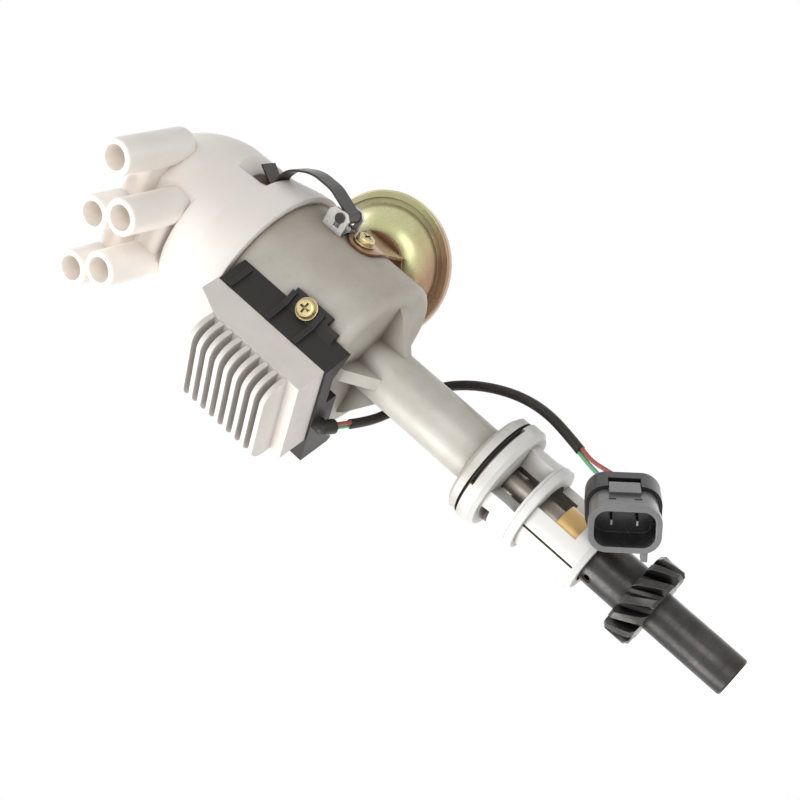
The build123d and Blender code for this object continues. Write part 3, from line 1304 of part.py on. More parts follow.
def clip_bracket(azimuth):
    """Bent sheet bracket with two ears for the clip's pin, and its rivet."""
    plate = block(EAR_SPAN, BRACKET_PLATE + BOWL_WALL, EAR_HEIGHT)
    bracket = Pos(0, -BOWL_RADIUS + BOWL_WALL, EAR_BOTTOM_Z) * plate
    for side in (-1, 1):
        bracket += Pos(side * (EAR_SPAN - EAR_THICKNESS) / 2, 0, 0) * clip_ear()
    bracket -= across_pin(CLIP_PIN_RADIUS, EAR_SPAN + 2 * OVERRUN)
    bracket -= disc(BOWL_RADIUS, EAR_BOTTOM_Z - OVERRUN, RIM_Z)
    rivet = Pos(0, -BOWL_RADIUS + BOWL_WALL, CLIP_PIN_Z) * Rot(90, 0, 0) * post(SCREW_SHANK, BOWL_WALL)
    return station(azimuth) * (bracket + rivet)


def clip_brackets():
    """The two brackets."""
    return Compound(children=[clip_bracket(azimuth) for azimuth in clip_azimuths()])


def clip_pins():
    """Headed pins through the ears and the clips' loops."""
    pin = across_pin(CLIP_PIN_RADIUS, EAR_SPAN)
    head = across_pin(CLIP_PIN_RADIUS + CLIP_PIN_HEAD, CLIP_PIN_HEAD)
    for side in (-1, 1):
        pin += Pos(side * (EAR_SPAN + CLIP_PIN_HEAD) / 2, 0, 0) * head
    return Compound(children=[station(azimuth) * pin for azimuth in clip_azimuths()])


def clip_path():
    """Line of the flat spring: up from the pin, over the bow, onto the seat and up the tab."""
    seat_z = POCKET_Z + LOOSE_FIT + CLIP_THICKNESS / 2
    rise = seat_z - CLIP_PIN_Z
    return FilletPolyline(
        (-CLIP_PIN_OUT - CLIP_LOOP + CLIP_THICKNESS / 2, CLIP_PIN_Z),
        (-CLIP_PIN_OUT - CLIP_BOW, CLIP_PIN_Z + rise * 0.32),
        (-CLIP_PIN_OUT - CLIP_BOW, CLIP_PIN_Z + rise * 0.65),
        (-CLIP_PIN_OUT - CLIP_BOW / 8, CLIP_PIN_Z + rise * 0.94),
        (-CLIP_SEAT - CLIP_TAB_OUT, seat_z + CLEARANCE),
        (-CLIP_SEAT, seat_z),
        (-CLIP_SEAT - CLIP_TAB_OUT, seat_z + CLIP_TAB_UP),
        radius=(CLIP_FOOT_BEND, CLIP_BOW_BEND, CLIP_TOP_BEND, CLIP_HOOK_BEND, CLIP_SEAT_BEND),
    )


def spring_clip(azimuth):
    """Bowed flat spring: loop on the pin, bow, seat on the cap and finger tab."""
    path = Plane.YZ * clip_path()
    section = Plane(origin=path @ 0, x_dir=(1, 0, 0), z_dir=path % 0) * Rectangle(CLIP_WIDTH, CLIP_THICKNESS)
    clip = sweep(section, path=path) + across_pin(CLIP_LOOP, CLIP_WIDTH)
    return station(azimuth) * (clip - across_pin(CLIP_PIN_RADIUS + RUNNING_FIT, CLIP_WIDTH + OVERRUN))


# Distributor cap
def cap_shell():
    """Turned body of the cap: skirt, barrel and dome."""
    dome_z = RIM_Z + DOME_START
    barrel_z = RIM_Z + SKIRT_HEIGHT
    skirt_top = (SKIRT_RADIUS - SKIRT_TAPER, RIM_Z + SKIRT_RISE)
    barrel_foot = (BARREL_RADIUS + BARREL_TAPER, barrel_z)
    dome_foot = (BARREL_RADIUS, dome_z)
    dome_middle = (BARREL_RADIUS - DOME_INSET, RIM_Z + DOME_MIDDLE)
    crown = (CROWN_RADIUS, CAP_TOP_Z)
    outline = Plane.XZ * make_face(
        Line((0, RIM_Z), (SKIRT_RADIUS, RIM_Z))
        + Line((SKIRT_RADIUS, RIM_Z), skirt_top)
        + Line(skirt_top, barrel_foot)
        + Line(barrel_foot, dome_foot)
        + ThreePointArc(dome_foot, dome_middle, crown)
        + Line(crown, (0, CAP_TOP_Z))
        + Line((0, CAP_TOP_Z), (0, RIM_Z))
    )
    return revolve(outline, Axis.Z)


def tower_places():
    """Tangential place, height and face distance of each tower."""
    upper = [(across, UPPER_ROW_Z, UPPER_FACE) for across in UPPER_ROW]
    lower = [(across, LOWER_ROW_Z, LOWER_FACE) for across in LOWER_ROW]
    return upper + lower


def tower(across, z, face):
    """One tower with a rounded lip and a rounded root, on the -Y side."""
    barrel = post(TOWER_RADIUS, face - TOWER_ROOT)
    rims = barrel.edges().filter_by(GeomType.CIRCLE).sort_by(Axis.Z)
    barrel = fillet(rims[-1], TOWER_LIP)
    barrel = fillet(barrel.edges().filter_by(GeomType.CIRCLE).sort_by(Axis.Z)[0], TOWER_ROOT_ROUND)
    return Pos(across, -TOWER_ROOT, z) * Rot(90, 0, 0) * barrel


def tower_web(row, z):
    """Rounded web that joins the towers of a row."""
    web = Box(row[-1] - row[0], WEB_FACE - TOWER_ROOT, 2 * WEB_HALF, align=(LOW, HIGH, MID))
    web = fillet(web.edges().filter_by(Axis.X).sort_by(Axis.Y)[:2], WEB_ROUND)
    return Pos(row[0], -TOWER_ROOT, z) * web


def tower_flat():
    """What is cut from the barrel to give the towers a flat face."""
    return Pos(0, -FLAT_FACE, ROOF_Z + FLAT_MARGIN) * block(2 * BOWL_RADIUS, BOWL_RADIUS, CAP_HEIGHT)


def clip_pocket(azimuth):
    """Pocket in the cap's side that the clip seats in."""
    pocket = Pos(0, -POCKET_FLOOR, POCKET_Z) * block(POCKET_WIDTH, BOWL_RADIUS, POCKET_HEIGHT)
    top = POCKET_Z + POCKET_HEIGHT + OVERRUN
    slope = Plane.YZ * make_face(
        Polyline(
            (-POCKET_FLOOR + OVERRUN, POCKET_Z + POCKET_SLOPE),
            (-POCKET_FLOOR + OVERRUN, top),
            (-BARREL_RADIUS - OVERRUN, top),
            close=True,
        )
    )
    return station(azimuth) * (pocket - extrude(slope, POCKET_WIDTH, both=True))


def tower_bores():
    """Bores of the towers with the steps for their inserts."""
    tools = Part()
    for across, z, face in tower_places():
        bore = Cylinder(TOWER_BORE, TOWER_DEPTH, align=(MID, MID, HIGH))
        depth = TOWER_DEPTH + CUP_DEPTH
        socket = Cylinder(TOWER_BORE - CUP_STEP, depth, align=(MID, MID, HIGH))
        tools += Pos(across, -face, z) * Rot(90, 0, 0) * (bore + socket)
    return tools


def cap_blank():
    """Cap with towers, cavity and pockets, before the inserts are let in."""
    towers = tower_web(UPPER_ROW, UPPER_ROW_Z) + tower_web(LOWER_ROW, LOWER_ROW_Z)
    for place in tower_places():
        towers += tower(*place)
    body = cap_shell() - station(TOWER_AZIMUTH) * tower_flat()
    body += station(TOWER_AZIMUTH) * towers
    body -= disc(CAVITY_RADIUS, RIM_Z - OVERRUN, ROOF_Z)
    body += ring(BOWL_INNER - SPIGOT_GAP, CAVITY_RADIUS, RIM_Z - SPIGOT_DEPTH, RIM_Z)
    seam = (BOWL_RADIUS + SEAM_WIDTH / 2, BOWL_RADIUS - SEAM_WIDTH / 2)
    body -= ring(*seam, RIM_Z - OVERRUN, RIM_Z + SEAM_DEPTH)
    body += disc(BRUSH_BOSS, ROOF_Z - BRUSH_BOSS_HEIGHT, ROOF_Z + OVERRUN)
    body -= station(TOWER_AZIMUTH) * tower_bores()
    body -= disc(BRUSH_RADIUS + RUNNING_FIT, ROOF_Z - BRUSH_BOSS_HEIGHT - OVERRUN, COIL_FOOT_Z)
    for azimuth in clip_azimuths():
        body -= clip_pocket(azimuth)
    return body


def insert(across, z, face, foot):
    """Terminal cup at the end of a tower's bore, with its lead to a foot."""
    floor = face - TOWER_DEPTH - CUP_DEPTH
    radius = TOWER_BORE - CUP_STEP
    cup = post(radius, CUP_DEPTH) - Pos(0, 0, CUP_WALL) * post(radius - CUP_WALL, CUP_DEPTH)
    start = Vector(across, -floor - CUP_WALL / 2, z)
    lead = rod(start, foot, CONDUCTOR_RADIUS)
    return Pos(across, -floor, z) * Rot(90, 0, 0) * cup + lead + Pos(*foot) * Sphere(CONDUCTOR_RADIUS)


def plug_terminals():
    """The four inserts that lead from a tower to a post inside the cap."""
    side = POST_CIRCLE / sqrt(2)
    top = ROOF_Z + CONDUCTOR_COVER
    feet = ((-side, side, top), (side, side, top), (-side, -side, top), (side, -side, top))
    upper = [place for place in tower_places() if place[0] != UPPER_ROW[1]]
    pieces = []
    for place, foot in zip(upper, feet):
        post_piece = rod(foot, (foot[0], foot[1], POST_BOTTOM_Z), POST_SIZE)
        pieces.append(station(TOWER_AZIMUTH) * (insert(*place, foot) + post_piece))
    return Compound(children=pieces)


def coil_terminal():
    """The insert that leads from the middle tower to the brush spring."""
    foot = (0, 0, COIL_FOOT_Z + CONDUCTOR_RADIUS)
    piece = insert(UPPER_ROW[1], UPPER_ROW_Z, UPPER_FACE, foot)
    piece -= disc(CONTACT_PAD, COIL_FOOT_Z - OVERRUN, COIL_FOOT_Z)
    pad = disc(BRUSH_RADIUS + RUNNING_FIT, COIL_FOOT_Z, COIL_FOOT_Z + 2 * CONDUCTOR_RADIUS)
    return station(TOWER_AZIMUTH) * (piece + pad)


def distributor_cap():
    """The cap with room for its inserts."""
    return cap_blank() - plug_terminals() - coil_terminal()


def carbon_brush():
    """Carbon brush that rests on the rotor contact."""
    return disc(BRUSH_RADIUS, BRUSH_Z, BRUSH_Z + BRUSH_LENGTH)


def brush_spring():
    """Spring behind the brush, as the sleeve that its turns fill."""
    outer = BRUSH_RADIUS - LOOSE_FIT
    return ring(outer, outer - BRUSH_SPRING_WALL, BRUSH_Z + BRUSH_LENGTH, COIL_FOOT_Z)


# Harness
def corner_radii(points):
    """Arc at each corner: as large as its two runs allow."""
    radii = []
    for before, corner, after in zip(points, points[1:], points[2:]):
        first = Vector(corner) - Vector(before)
        second = Vector(after) - Vector(corner)
        turn = radians(first.get_angle(second))
        radii.append(0.45 * min(first.length, second.length) / tan(turn / 2))
    return radii


def tube(points, radius):
    """A round tube along straight runs joined by tangent arcs."""
    radii = corner_radii(points)
    path = FilletPolyline(*points, radius=radii)
    section = Plane(origin=path @ 0, z_dir=path % 0) * Circle(radius)
    piece = sweep(section, path=path)
    print("tube radii", [round(value, 1) for value in radii], "length", round(path.length, 1))
    print("  volume", round(piece.volume, 1), "section x length", round(pi * radius ** 2 * path.length, 1))
    return piece


def route_start():
    """Direction from the sleeve's first point back to the module."""
    return (Vector(CABLE_ROUTE[0]) - Vector(CABLE_ROUTE[1])).normalized()


def route_end():
    """Direction in which the sleeve ends, towards the plug."""
    return (Vector(CABLE_ROUTE[-1]) - Vector(CABLE_ROUTE[-2])).normalized()


def cable_sleeve():
    """Black sleeve of the harness."""
    return tube(CABLE_ROUTE, SLEEVE_CABLE_RADIUS)


def plug_frame():
    """Plane at the plug's mouth: Z out of the mouth, X along its width."""
    return Plane(origin=PLUG_MOUTH, x_dir=PLUG_WIDE_AXIS, z_dir=PLUG_AXIS)


def wire_ends(side):
    """One wire's visible ends: from the module into the sleeve and from the sleeve into the plug."""
    up = Vector(0, 0, 1)
    start = Vector(CABLE_ROUTE[0]) + up.cross(route_start()).normalized() * side * WIRE_SPREAD
    end = Vector(CABLE_ROUTE[-1]) + up.cross(route_end()).normalized() * side * WIRE_SPREAD
    plug = plug_frame()
    entry = plug.from_local_coords((side * PIN_SPACING / 2, 0, -PLUG_END))
    approach = plug.from_local_coords((side * PIN_SPACING / 2, 0, -PLUG_END - WIRE_ENTRY))
    near = rod(start + route_start() * WIRE_LEAD, start, WIRE_RADIUS)
    corner = end + route_end() * WIRE_DROP
    far = tube((tuple(end), tuple(corner), tuple(approach), tuple(entry)), WIRE_RADIUS)
    return Compound(children=[near, far])


def plug_section(step):
    """Rounded section of the plug, inside its largest outline by a step."""
    return RectangleRounded(PLUG_WIDTH - 2 * step, PLUG_HEIGHT - 2 * step, PLUG_CORNER - step)


def connector_body():
    """Two-pin plug shell: stepped outside, rounded mouth, tongue above and latch below."""
    shell = extrude(plug_section(0), -PLUG_RIM) + extrude(plug_section(PLUG_STEP), -PLUG_LENGTH)
    shell -= extrude(plug_section(PLUG_WALL), -PLUG_DEPTH)
    top = PLUG_HEIGHT / 2 - PLUG_STEP
    tongue_length = LOCK_LAP + LATCH_LENGTH
    tongue = Box(LOCK_NOTCH - 2 * LOOSE_FIT, 2 * TONGUE_HEIGHT, tongue_length, align=(MID, MID, LOW))
    shell += Pos(0, top, -PLUG_LENGTH) * tongue
    latch = Box(LATCH_WIDTH, LATCH_DROP + TONGUE_HEIGHT, LATCH_LENGTH, align=(MID, HIGH, HIGH))
    shell += Pos(LATCH_ACROSS, TONGUE_HEIGHT - top, -PLUG_STEP) * latch
    for side in (-1, 1):
        dimple = Box(DIMPLE_WIDTH, 2 * DIMPLE_DEPTH, DIMPLE_WIDTH / 2)
        shell -= Pos(side * PIN_SPACING / 2, top, -DIMPLE_BACK) * dimple
    return plug_frame() * (shell - pin_blanks())


def connector_lock():
    """Dark rear lock that wraps the plug's end, notched above for the tongue."""
    front = Pos(0, 0, LOCK_LAP - PLUG_LENGTH)
    lock = front * extrude(plug_section(-LOCK_GROWTH), -LOCK_LENGTH - LOCK_LAP)
    lock -= front * extrude(plug_section(PLUG_STEP), -LOCK_LAP)
    notch = Box(LOCK_NOTCH, PLUG_HEIGHT, LOCK_LAP + LOCK_NOTCH_DEPTH, align=(MID, LOW, HIGH))
    return plug_frame() * (lock - front * Pos(0, PLUG_HEIGHT / 2 - 2 * PLUG_STEP, 0) * notch)


def pin_blanks():
    """The plug's two flat pins, in the plug's own frame."""
    pins = Part()
    for side in (-1, 1):
        pin = Box(PIN_THICKNESS, PIN_WIDTH, PIN_LENGTH, align=(MID, MID, LOW))
        pins += Pos(side * PIN_SPACING / 2, 0, -PLUG_DEPTH - PIN_ROOT) * pin
    return pins


def connector_pins():
    """The plug's two flat pins."""
    return plug_frame() * Compound(children=list(pin_blanks().solids()))


NODES = {
    "housing": housing,
    "seal_ring": seal_ring,
    "main_shaft": main_shaft,
    "lower_bush": lower_bush,
    "upper_bush": upper_bush,
    "thrust_washer": thrust_washer,
    "drive_gear": drive_gear,
    "roll_pin": roll_pin,
    "governor_plate": governor_plate,
    "governor_weight_a": lambda: governor_weight(weight_turns()[0]),
    "governor_weight_b": lambda: governor_weight(weight_turns()[1]),
    "governor_springs": governor_springs,
    "cam_sleeve": cam_sleeve,
    "reluctor": reluctor,
    "rotor": rotor,
    "rotor_contact": rotor_contact,
    "pickup_base": pickup_base,
    "base_screws": base_screws,
    "pickup_plate": pickup_plate,
    "pickup_core": pickup_core,
    "pickup_coil": pickup_coil,
    "canister_inner_shell": canister_inner_shell,
    "canister_outer_shell": canister_outer_shell,
    "diaphragm": diaphragm,
    "diaphragm_plate": diaphragm_plate,
    "diaphragm_spring": diaphragm_spring,
    "hose_nipple": hose_nipple,
    "link_rod": link_rod,
    "canister_bracket": canister_bracket,
    "bracket_screws": bracket_screws,
    "heat_sink": heat_sink,
    "module_case": module_case,
    "module_screws": module_screws,
    "clip_brackets": clip_brackets,
    "clip_pins": clip_pins,
    "clip_front": lambda: spring_clip(clip_azimuths()[0]),
    "clip_rear": lambda: spring_clip(clip_azimuths()[1]),
    "distributor_cap": distributor_cap,
    "plug_terminals": plug_terminals,
    "coil_terminal": coil_terminal,
    "carbon_brush": carbon_brush,
    "brush_spring": brush_spring,
    "cable_sleeve": cable_sleeve,
    "green_wire": lambda: wire_ends(-1),
    "red_wire": lambda: wire_ends(1),
    "connector_body": connector_body,
    "connector_lock": connector_lock,
    "connector_pins": connector_pins,
}

for name, build in NODES.items():
    export_step(build(), f"parts/{name}.step")
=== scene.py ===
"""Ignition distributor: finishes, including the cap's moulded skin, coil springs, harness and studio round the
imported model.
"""
import logging
import math
from dataclasses import dataclass, field
from enum import Enum
from typing import Any, Sequence

import bmesh
import bpy
from mathutils import Matrix, Vector


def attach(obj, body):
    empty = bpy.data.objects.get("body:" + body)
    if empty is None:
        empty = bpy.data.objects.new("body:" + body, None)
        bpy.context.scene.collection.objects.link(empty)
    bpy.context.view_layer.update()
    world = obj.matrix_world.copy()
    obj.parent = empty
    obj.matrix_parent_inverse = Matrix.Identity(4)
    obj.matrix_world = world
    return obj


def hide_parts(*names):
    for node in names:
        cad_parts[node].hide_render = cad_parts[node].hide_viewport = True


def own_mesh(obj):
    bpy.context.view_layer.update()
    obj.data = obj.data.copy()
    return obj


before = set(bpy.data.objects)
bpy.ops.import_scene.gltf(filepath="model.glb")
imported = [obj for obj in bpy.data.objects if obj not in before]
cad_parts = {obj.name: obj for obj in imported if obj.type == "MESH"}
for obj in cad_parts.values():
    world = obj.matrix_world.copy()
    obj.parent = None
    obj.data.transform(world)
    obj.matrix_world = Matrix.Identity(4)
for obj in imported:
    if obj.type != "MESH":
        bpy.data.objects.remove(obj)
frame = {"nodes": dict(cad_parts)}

LOG = logging.getLogger("distributor")
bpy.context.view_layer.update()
MM = 0.001
FINISH_SUFFIX = "_finish"
BUMP_STRENGTH = 0.6
SUBSURFACE_DEPTH = 4 * MM
SUBSURFACE_REACH = (1.0, 0.9, 0.8)
SHEEN_BLEND = 0.35
DRIFT_CLOUD_SCALE = 45.0

Colour = tuple[float, float, float]
Point = tuple[float, float, float]


class Grain(Enum):
    """How a surface was made, which sets the pattern of its bumps."""

    CAST = "cast"
    TURNED = "turned"
    MOULDED = "moulded"
    WOVEN = "woven"


class Graph:
    """Adds nodes to one node tree and links them."""

    def __init__(self, tree: bpy.types.NodeTree) -> None:
        """Keeps the tree.

        Args:
            tree: the material's or the group's tree.
        """
        self.tree = tree

    def add(self, kind: str, inputs: dict[str | int, Any] | None = None, **settings: Any) -> bpy.types.Node:
        """Adds one node.

        Args:
            kind: the node's type, without its leading ShaderNode.
            inputs: what goes in each input: a socket to link, or a value.
            settings: the node's own properties.

        Returns:
            The node.
        """
        node = self.tree.nodes.new("ShaderNode" + kind)
        for name, value in settings.items():
            setattr(node, name, value)
        for name, value in (inputs or {}).items():
            self.feed(node.inputs[name], value)
        return node

    def feed(self, socket: bpy.types.NodeSocket, value: Any) -> None:
        """Links or sets one input.

        Args:
            socket: the input.
            value: an output socket, or a plain value.
        """
        if isinstance(value, bpy.types.NodeSocket):
            self.tree.links.new(value, socket)
            return
        if socket.type == "RGBA" and len(value) == 3:
            value = (*value, 1.0)
        socket.default_value = value

    def math(self, operation: str, first: Any, second: Any = 0.0) -> bpy.types.NodeSocket:
        """Adds a Math node and returns its output.

        Args:
            operation: the node's operation.
            first: its first input.
            second: its second input.

        Returns:
            The result.
        """
        return self.add("Math", {0: first, 1: second}, operation=operation).outputs[0]

    def dot(self, first: Any, second: Any) -> bpy.types.NodeSocket:
        """Multiplies two vectors into one number.

        Args:
            first: a vector or a socket.
            second: a vector or a socket.

        Returns:
            The product.
        """
        return self.add("VectorMath", {0: first, 1: second}, operation="DOT_PRODUCT").outputs["Value"]

    def noise(self, place: Any, scale: Any, detail: float, roughness: float = 0.5) -> bpy.types.NodeSocket:
        """Adds a noise texture.

        Args:
            place: where it is read.
            scale: how fine it is, a number or a socket.
            detail: how many finer layers it has.
            roughness: how strong those are.

        Returns:
            The noise.
        """
        inputs = {"Vector": place, "Scale": scale, "Detail": detail, "Roughness": roughness}
        return self.add("TexNoise", inputs).outputs[0]

    def on_object(self) -> bpy.types.NodeSocket:
        """Finds the place on the object, which rides with it.

        Returns:
            The place.
        """
        return self.add("TexCoord").outputs["Object"]

    def meets_white(self) -> bpy.types.NodeSocket:
        """Marks the rays that meet the white background: camera, glossy and transmission rays.

        Returns:
            1 for those rays and 0 for the rest.
        """
        path = self.add("LightPath").outputs
        seen = self.math("MAXIMUM", path["Is Camera Ray"], path["Is Glossy Ray"])
        return self.math("MAXIMUM", seen, path["Is Transmission Ray"])

    def blend(self, factor: Any, first: Any, second: Any) -> bpy.types.NodeSocket:
        """Mixes two colours.

        Args:
            factor: the share of the second.
            first: a colour or a socket.
            second: a colour or a socket.

        Returns:
            The mixed colour.
        """
        node = self.add("Mix", data_type="RGBA")
        self.feed(node.inputs[0], factor)
        self.feed(node.inputs[6], first)
        self.feed(node.inputs[7], second)
        return node.outputs[2]

    def ramp(self, value: Any, low: float, high: float, start: float = 0.0, end: float = 1.0) -> bpy.types.NodeSocket:
        """Maps a value from one range to another, clamped.

        Args:
            value: the socket to map.
            low: where the old range starts.
            high: where it ends.
            start: where the new range starts.
            end: where it ends.

        Returns:
            The mapped value.
        """
        return self.add("MapRange", {0: value, 1: low, 2: high, 3: start, 4: end}).outputs[0]


class Effects:
    """The shared shader groups, each built once."""

    edge_cosines: tuple[float, float] = (0.99, 0.85)
    open_shares: tuple[float, float] = (0.85, 0.35)
    bevel_samples: int = 4
    occlusion_samples: int = 6

    def __init__(self) -> None:
        """Builds every group."""
        self.edges = self._edges()
        self.crevices = self._crevices()
        self.grains = {
            Grain.CAST: self._cast(),
            Grain.TURNED: self._turned(),
            Grain.MOULDED: self._moulded(),
            Grain.WOVEN: self._woven(),
        }

    @staticmethod
    def _open(name: str, entry: str, default: float, outputs: dict[str, str]) -> tuple[Graph, bpy.types.NodeSocket]:
        """Makes an empty group with one number as its input.

        Args:
            name: the group's name.
            entry: the input's name.
            default: the input's default.
            outputs: each output's name and socket type.

        Returns:
            A graph on the group, and the input inside it.
        """
        tree = bpy.data.node_groups.new(name, "ShaderNodeTree")
        socket = tree.interface.new_socket(name=entry, in_out="INPUT", socket_type="NodeSocketFloat")
        socket.default_value = default
        for label, kind in outputs.items():
            tree.interface.new_socket(name=label, in_out="OUTPUT", socket_type=kind)
        return Graph(tree), tree.nodes.new("NodeGroupInput").outputs[entry]

    @staticmethod
    def _close(graph: Graph, results: dict[str, bpy.types.NodeSocket]) -> bpy.types.NodeTree:
        """Feeds a group's outputs.

        Args:
            graph: the graph on the group.
            results: each output's name and what goes in it.

        Returns:
            The group.
        """
        end = graph.tree.nodes.new("NodeGroupOutput")
        for name, value in results.items():
            graph.feed(end.inputs[name], value)
        return graph.tree

    def _open_grain(self, name: str, scale: float) -> tuple[Graph, bpy.types.NodeSocket, bpy.types.NodeSocket]:
        """Makes an empty group for the height and tone of a surface.

        Args:
            name: the group's name.
            scale: its default scale.

        Returns:
            A graph on the group, its scale, and the place on the object.
        """
        graph, entry = self._open(name, "Scale", scale, {"Height": "NodeSocketFloat", "Tone": "NodeSocketFloat"})
        return graph, entry, graph.on_object()

    def _edges(self) -> bpy.types.NodeTree:
        """Rounds the shading of sharp edges and marks them.

        Returns:
            The group.
        """
        outputs = {"Normal": "NodeSocketVector", "Edge": "NodeSocketFloat"}
        graph, radius = self._open("soft_edges", "Radius", 0.4 * MM, outputs)
        bevel = graph.add("Bevel", {"Radius": radius}, samples=self.bevel_samples).outputs[0]
        cosine = graph.dot(bevel, graph.add("NewGeometry").outputs["Normal"])
        return self._close(graph, {"Normal": bevel, "Edge": graph.ramp(cosine, *self.edge_cosines)})

    def _crevices(self) -> bpy.types.NodeTree:
        """Marks corners and gaps that light hardly reaches, where the finishes paint shade and grime.

        Returns:
            The group.
        """
        graph, reach = self._open("crevices", "Reach", 3 * MM, {"Mask": "NodeSocketFloat"})
        occlusion = graph.add("AmbientOcclusion", {"Distance": reach}, samples=self.occlusion_samples)
        return self._close(graph, {"Mask": graph.ramp(occlusion.outputs["AO"], *self.open_shares)})

    def _cast(self) -> bpy.types.NodeTree:
        """Blasted casting: fine pits on slow waves, with cloudy tone.

        Returns:
            The group.
        """
        graph, scale, place = self._open_grain("cast_grain", 900.0)
        fine = graph.noise(place, scale, 2.0)
        slow = graph.noise(place, 120.0, 4.0, 0.6)
        cloud = graph.noise(place, 38.0, 5.0, 0.65)
        height = graph.math("ADD", fine, graph.math("MULTIPLY", slow, 0.8))
        return self._close(graph, {"Height": height, "Tone": graph.ramp(cloud, 0.35, 0.68)})

    def _turned(self) -> bpy.types.NodeTree:
        """Lathe marks: fine rings about Z under a mottled tone.

        Returns:
            The group.
        """
        graph, scale, place = self._open_grain("lathe_rings", 2600.0)
        radial = graph.add("VectorMath", {0: place, 1: (1.0, 1.0, 0.0)}, operation="MULTIPLY").outputs[0]
        radius = graph.add("VectorMath", {0: radial}, operation="LENGTH").outputs["Value"]
        height = graph.add("SeparateXYZ", {0: place}).outputs[2]
        ring = graph.add("CombineXYZ", {0: radius, 2: height}).outputs[0]
        lines = graph.noise(ring, scale, 2.0)
        cloud = graph.noise(place, 90.0, 5.0, 0.7)
        tone = graph.blend(0.8, lines, cloud)
        return self._close(graph, {"Height": lines, "Tone": graph.ramp(tone, 0.36, 0.66)})

    def _moulded(self) -> bpy.types.NodeTree:
        """Moulded plastic: a fine orange-peel skin with faint flow clouds.

        Returns:
            The group.
        """
        graph, scale, place = self._open_grain("moulded_skin", 1400.0)
        cloud = graph.noise(place, 30.0, 3.0)
        return self._close(graph, {"Height": graph.noise(place, scale, 1.0), "Tone": graph.ramp(cloud, 0.35, 0.65)})

    def _woven(self) -> bpy.types.NodeTree:
        """Braided sleeve: two crossing waves.

        Returns:
            The group.
        """
        graph, scale, place = self._open_grain("braid", 1500.0)
        waves = []
        for direction in ((1.0, 1.0, 1.0), (1.0, -1.0, 1.0)):
            turn = graph.math("MULTIPLY", graph.dot(place, direction), scale)
            waves.append(graph.math("SINE", graph.math("MULTIPLY", turn, 2.0)))
        weave = graph.math("MAXIMUM", *waves)
        cloud = graph.noise(place, 160.0, 3.0)
        return self._close(graph, {"Height": weave, "Tone": graph.ramp(cloud, 0.35, 0.65)})


@dataclass(frozen=True)
class Drift:
    """A tint that grows along a direction of the model. The finishes use it for painted shade, painted highlight and
    changes of the metal's own tone.

    The start and end are distances along the direction. A cloud of noise, as wide as the spread, is added to them.
    """

    colour: Colour
    along: Point
    start: float
    end: float
    share: float
    spread: float = 30 * MM


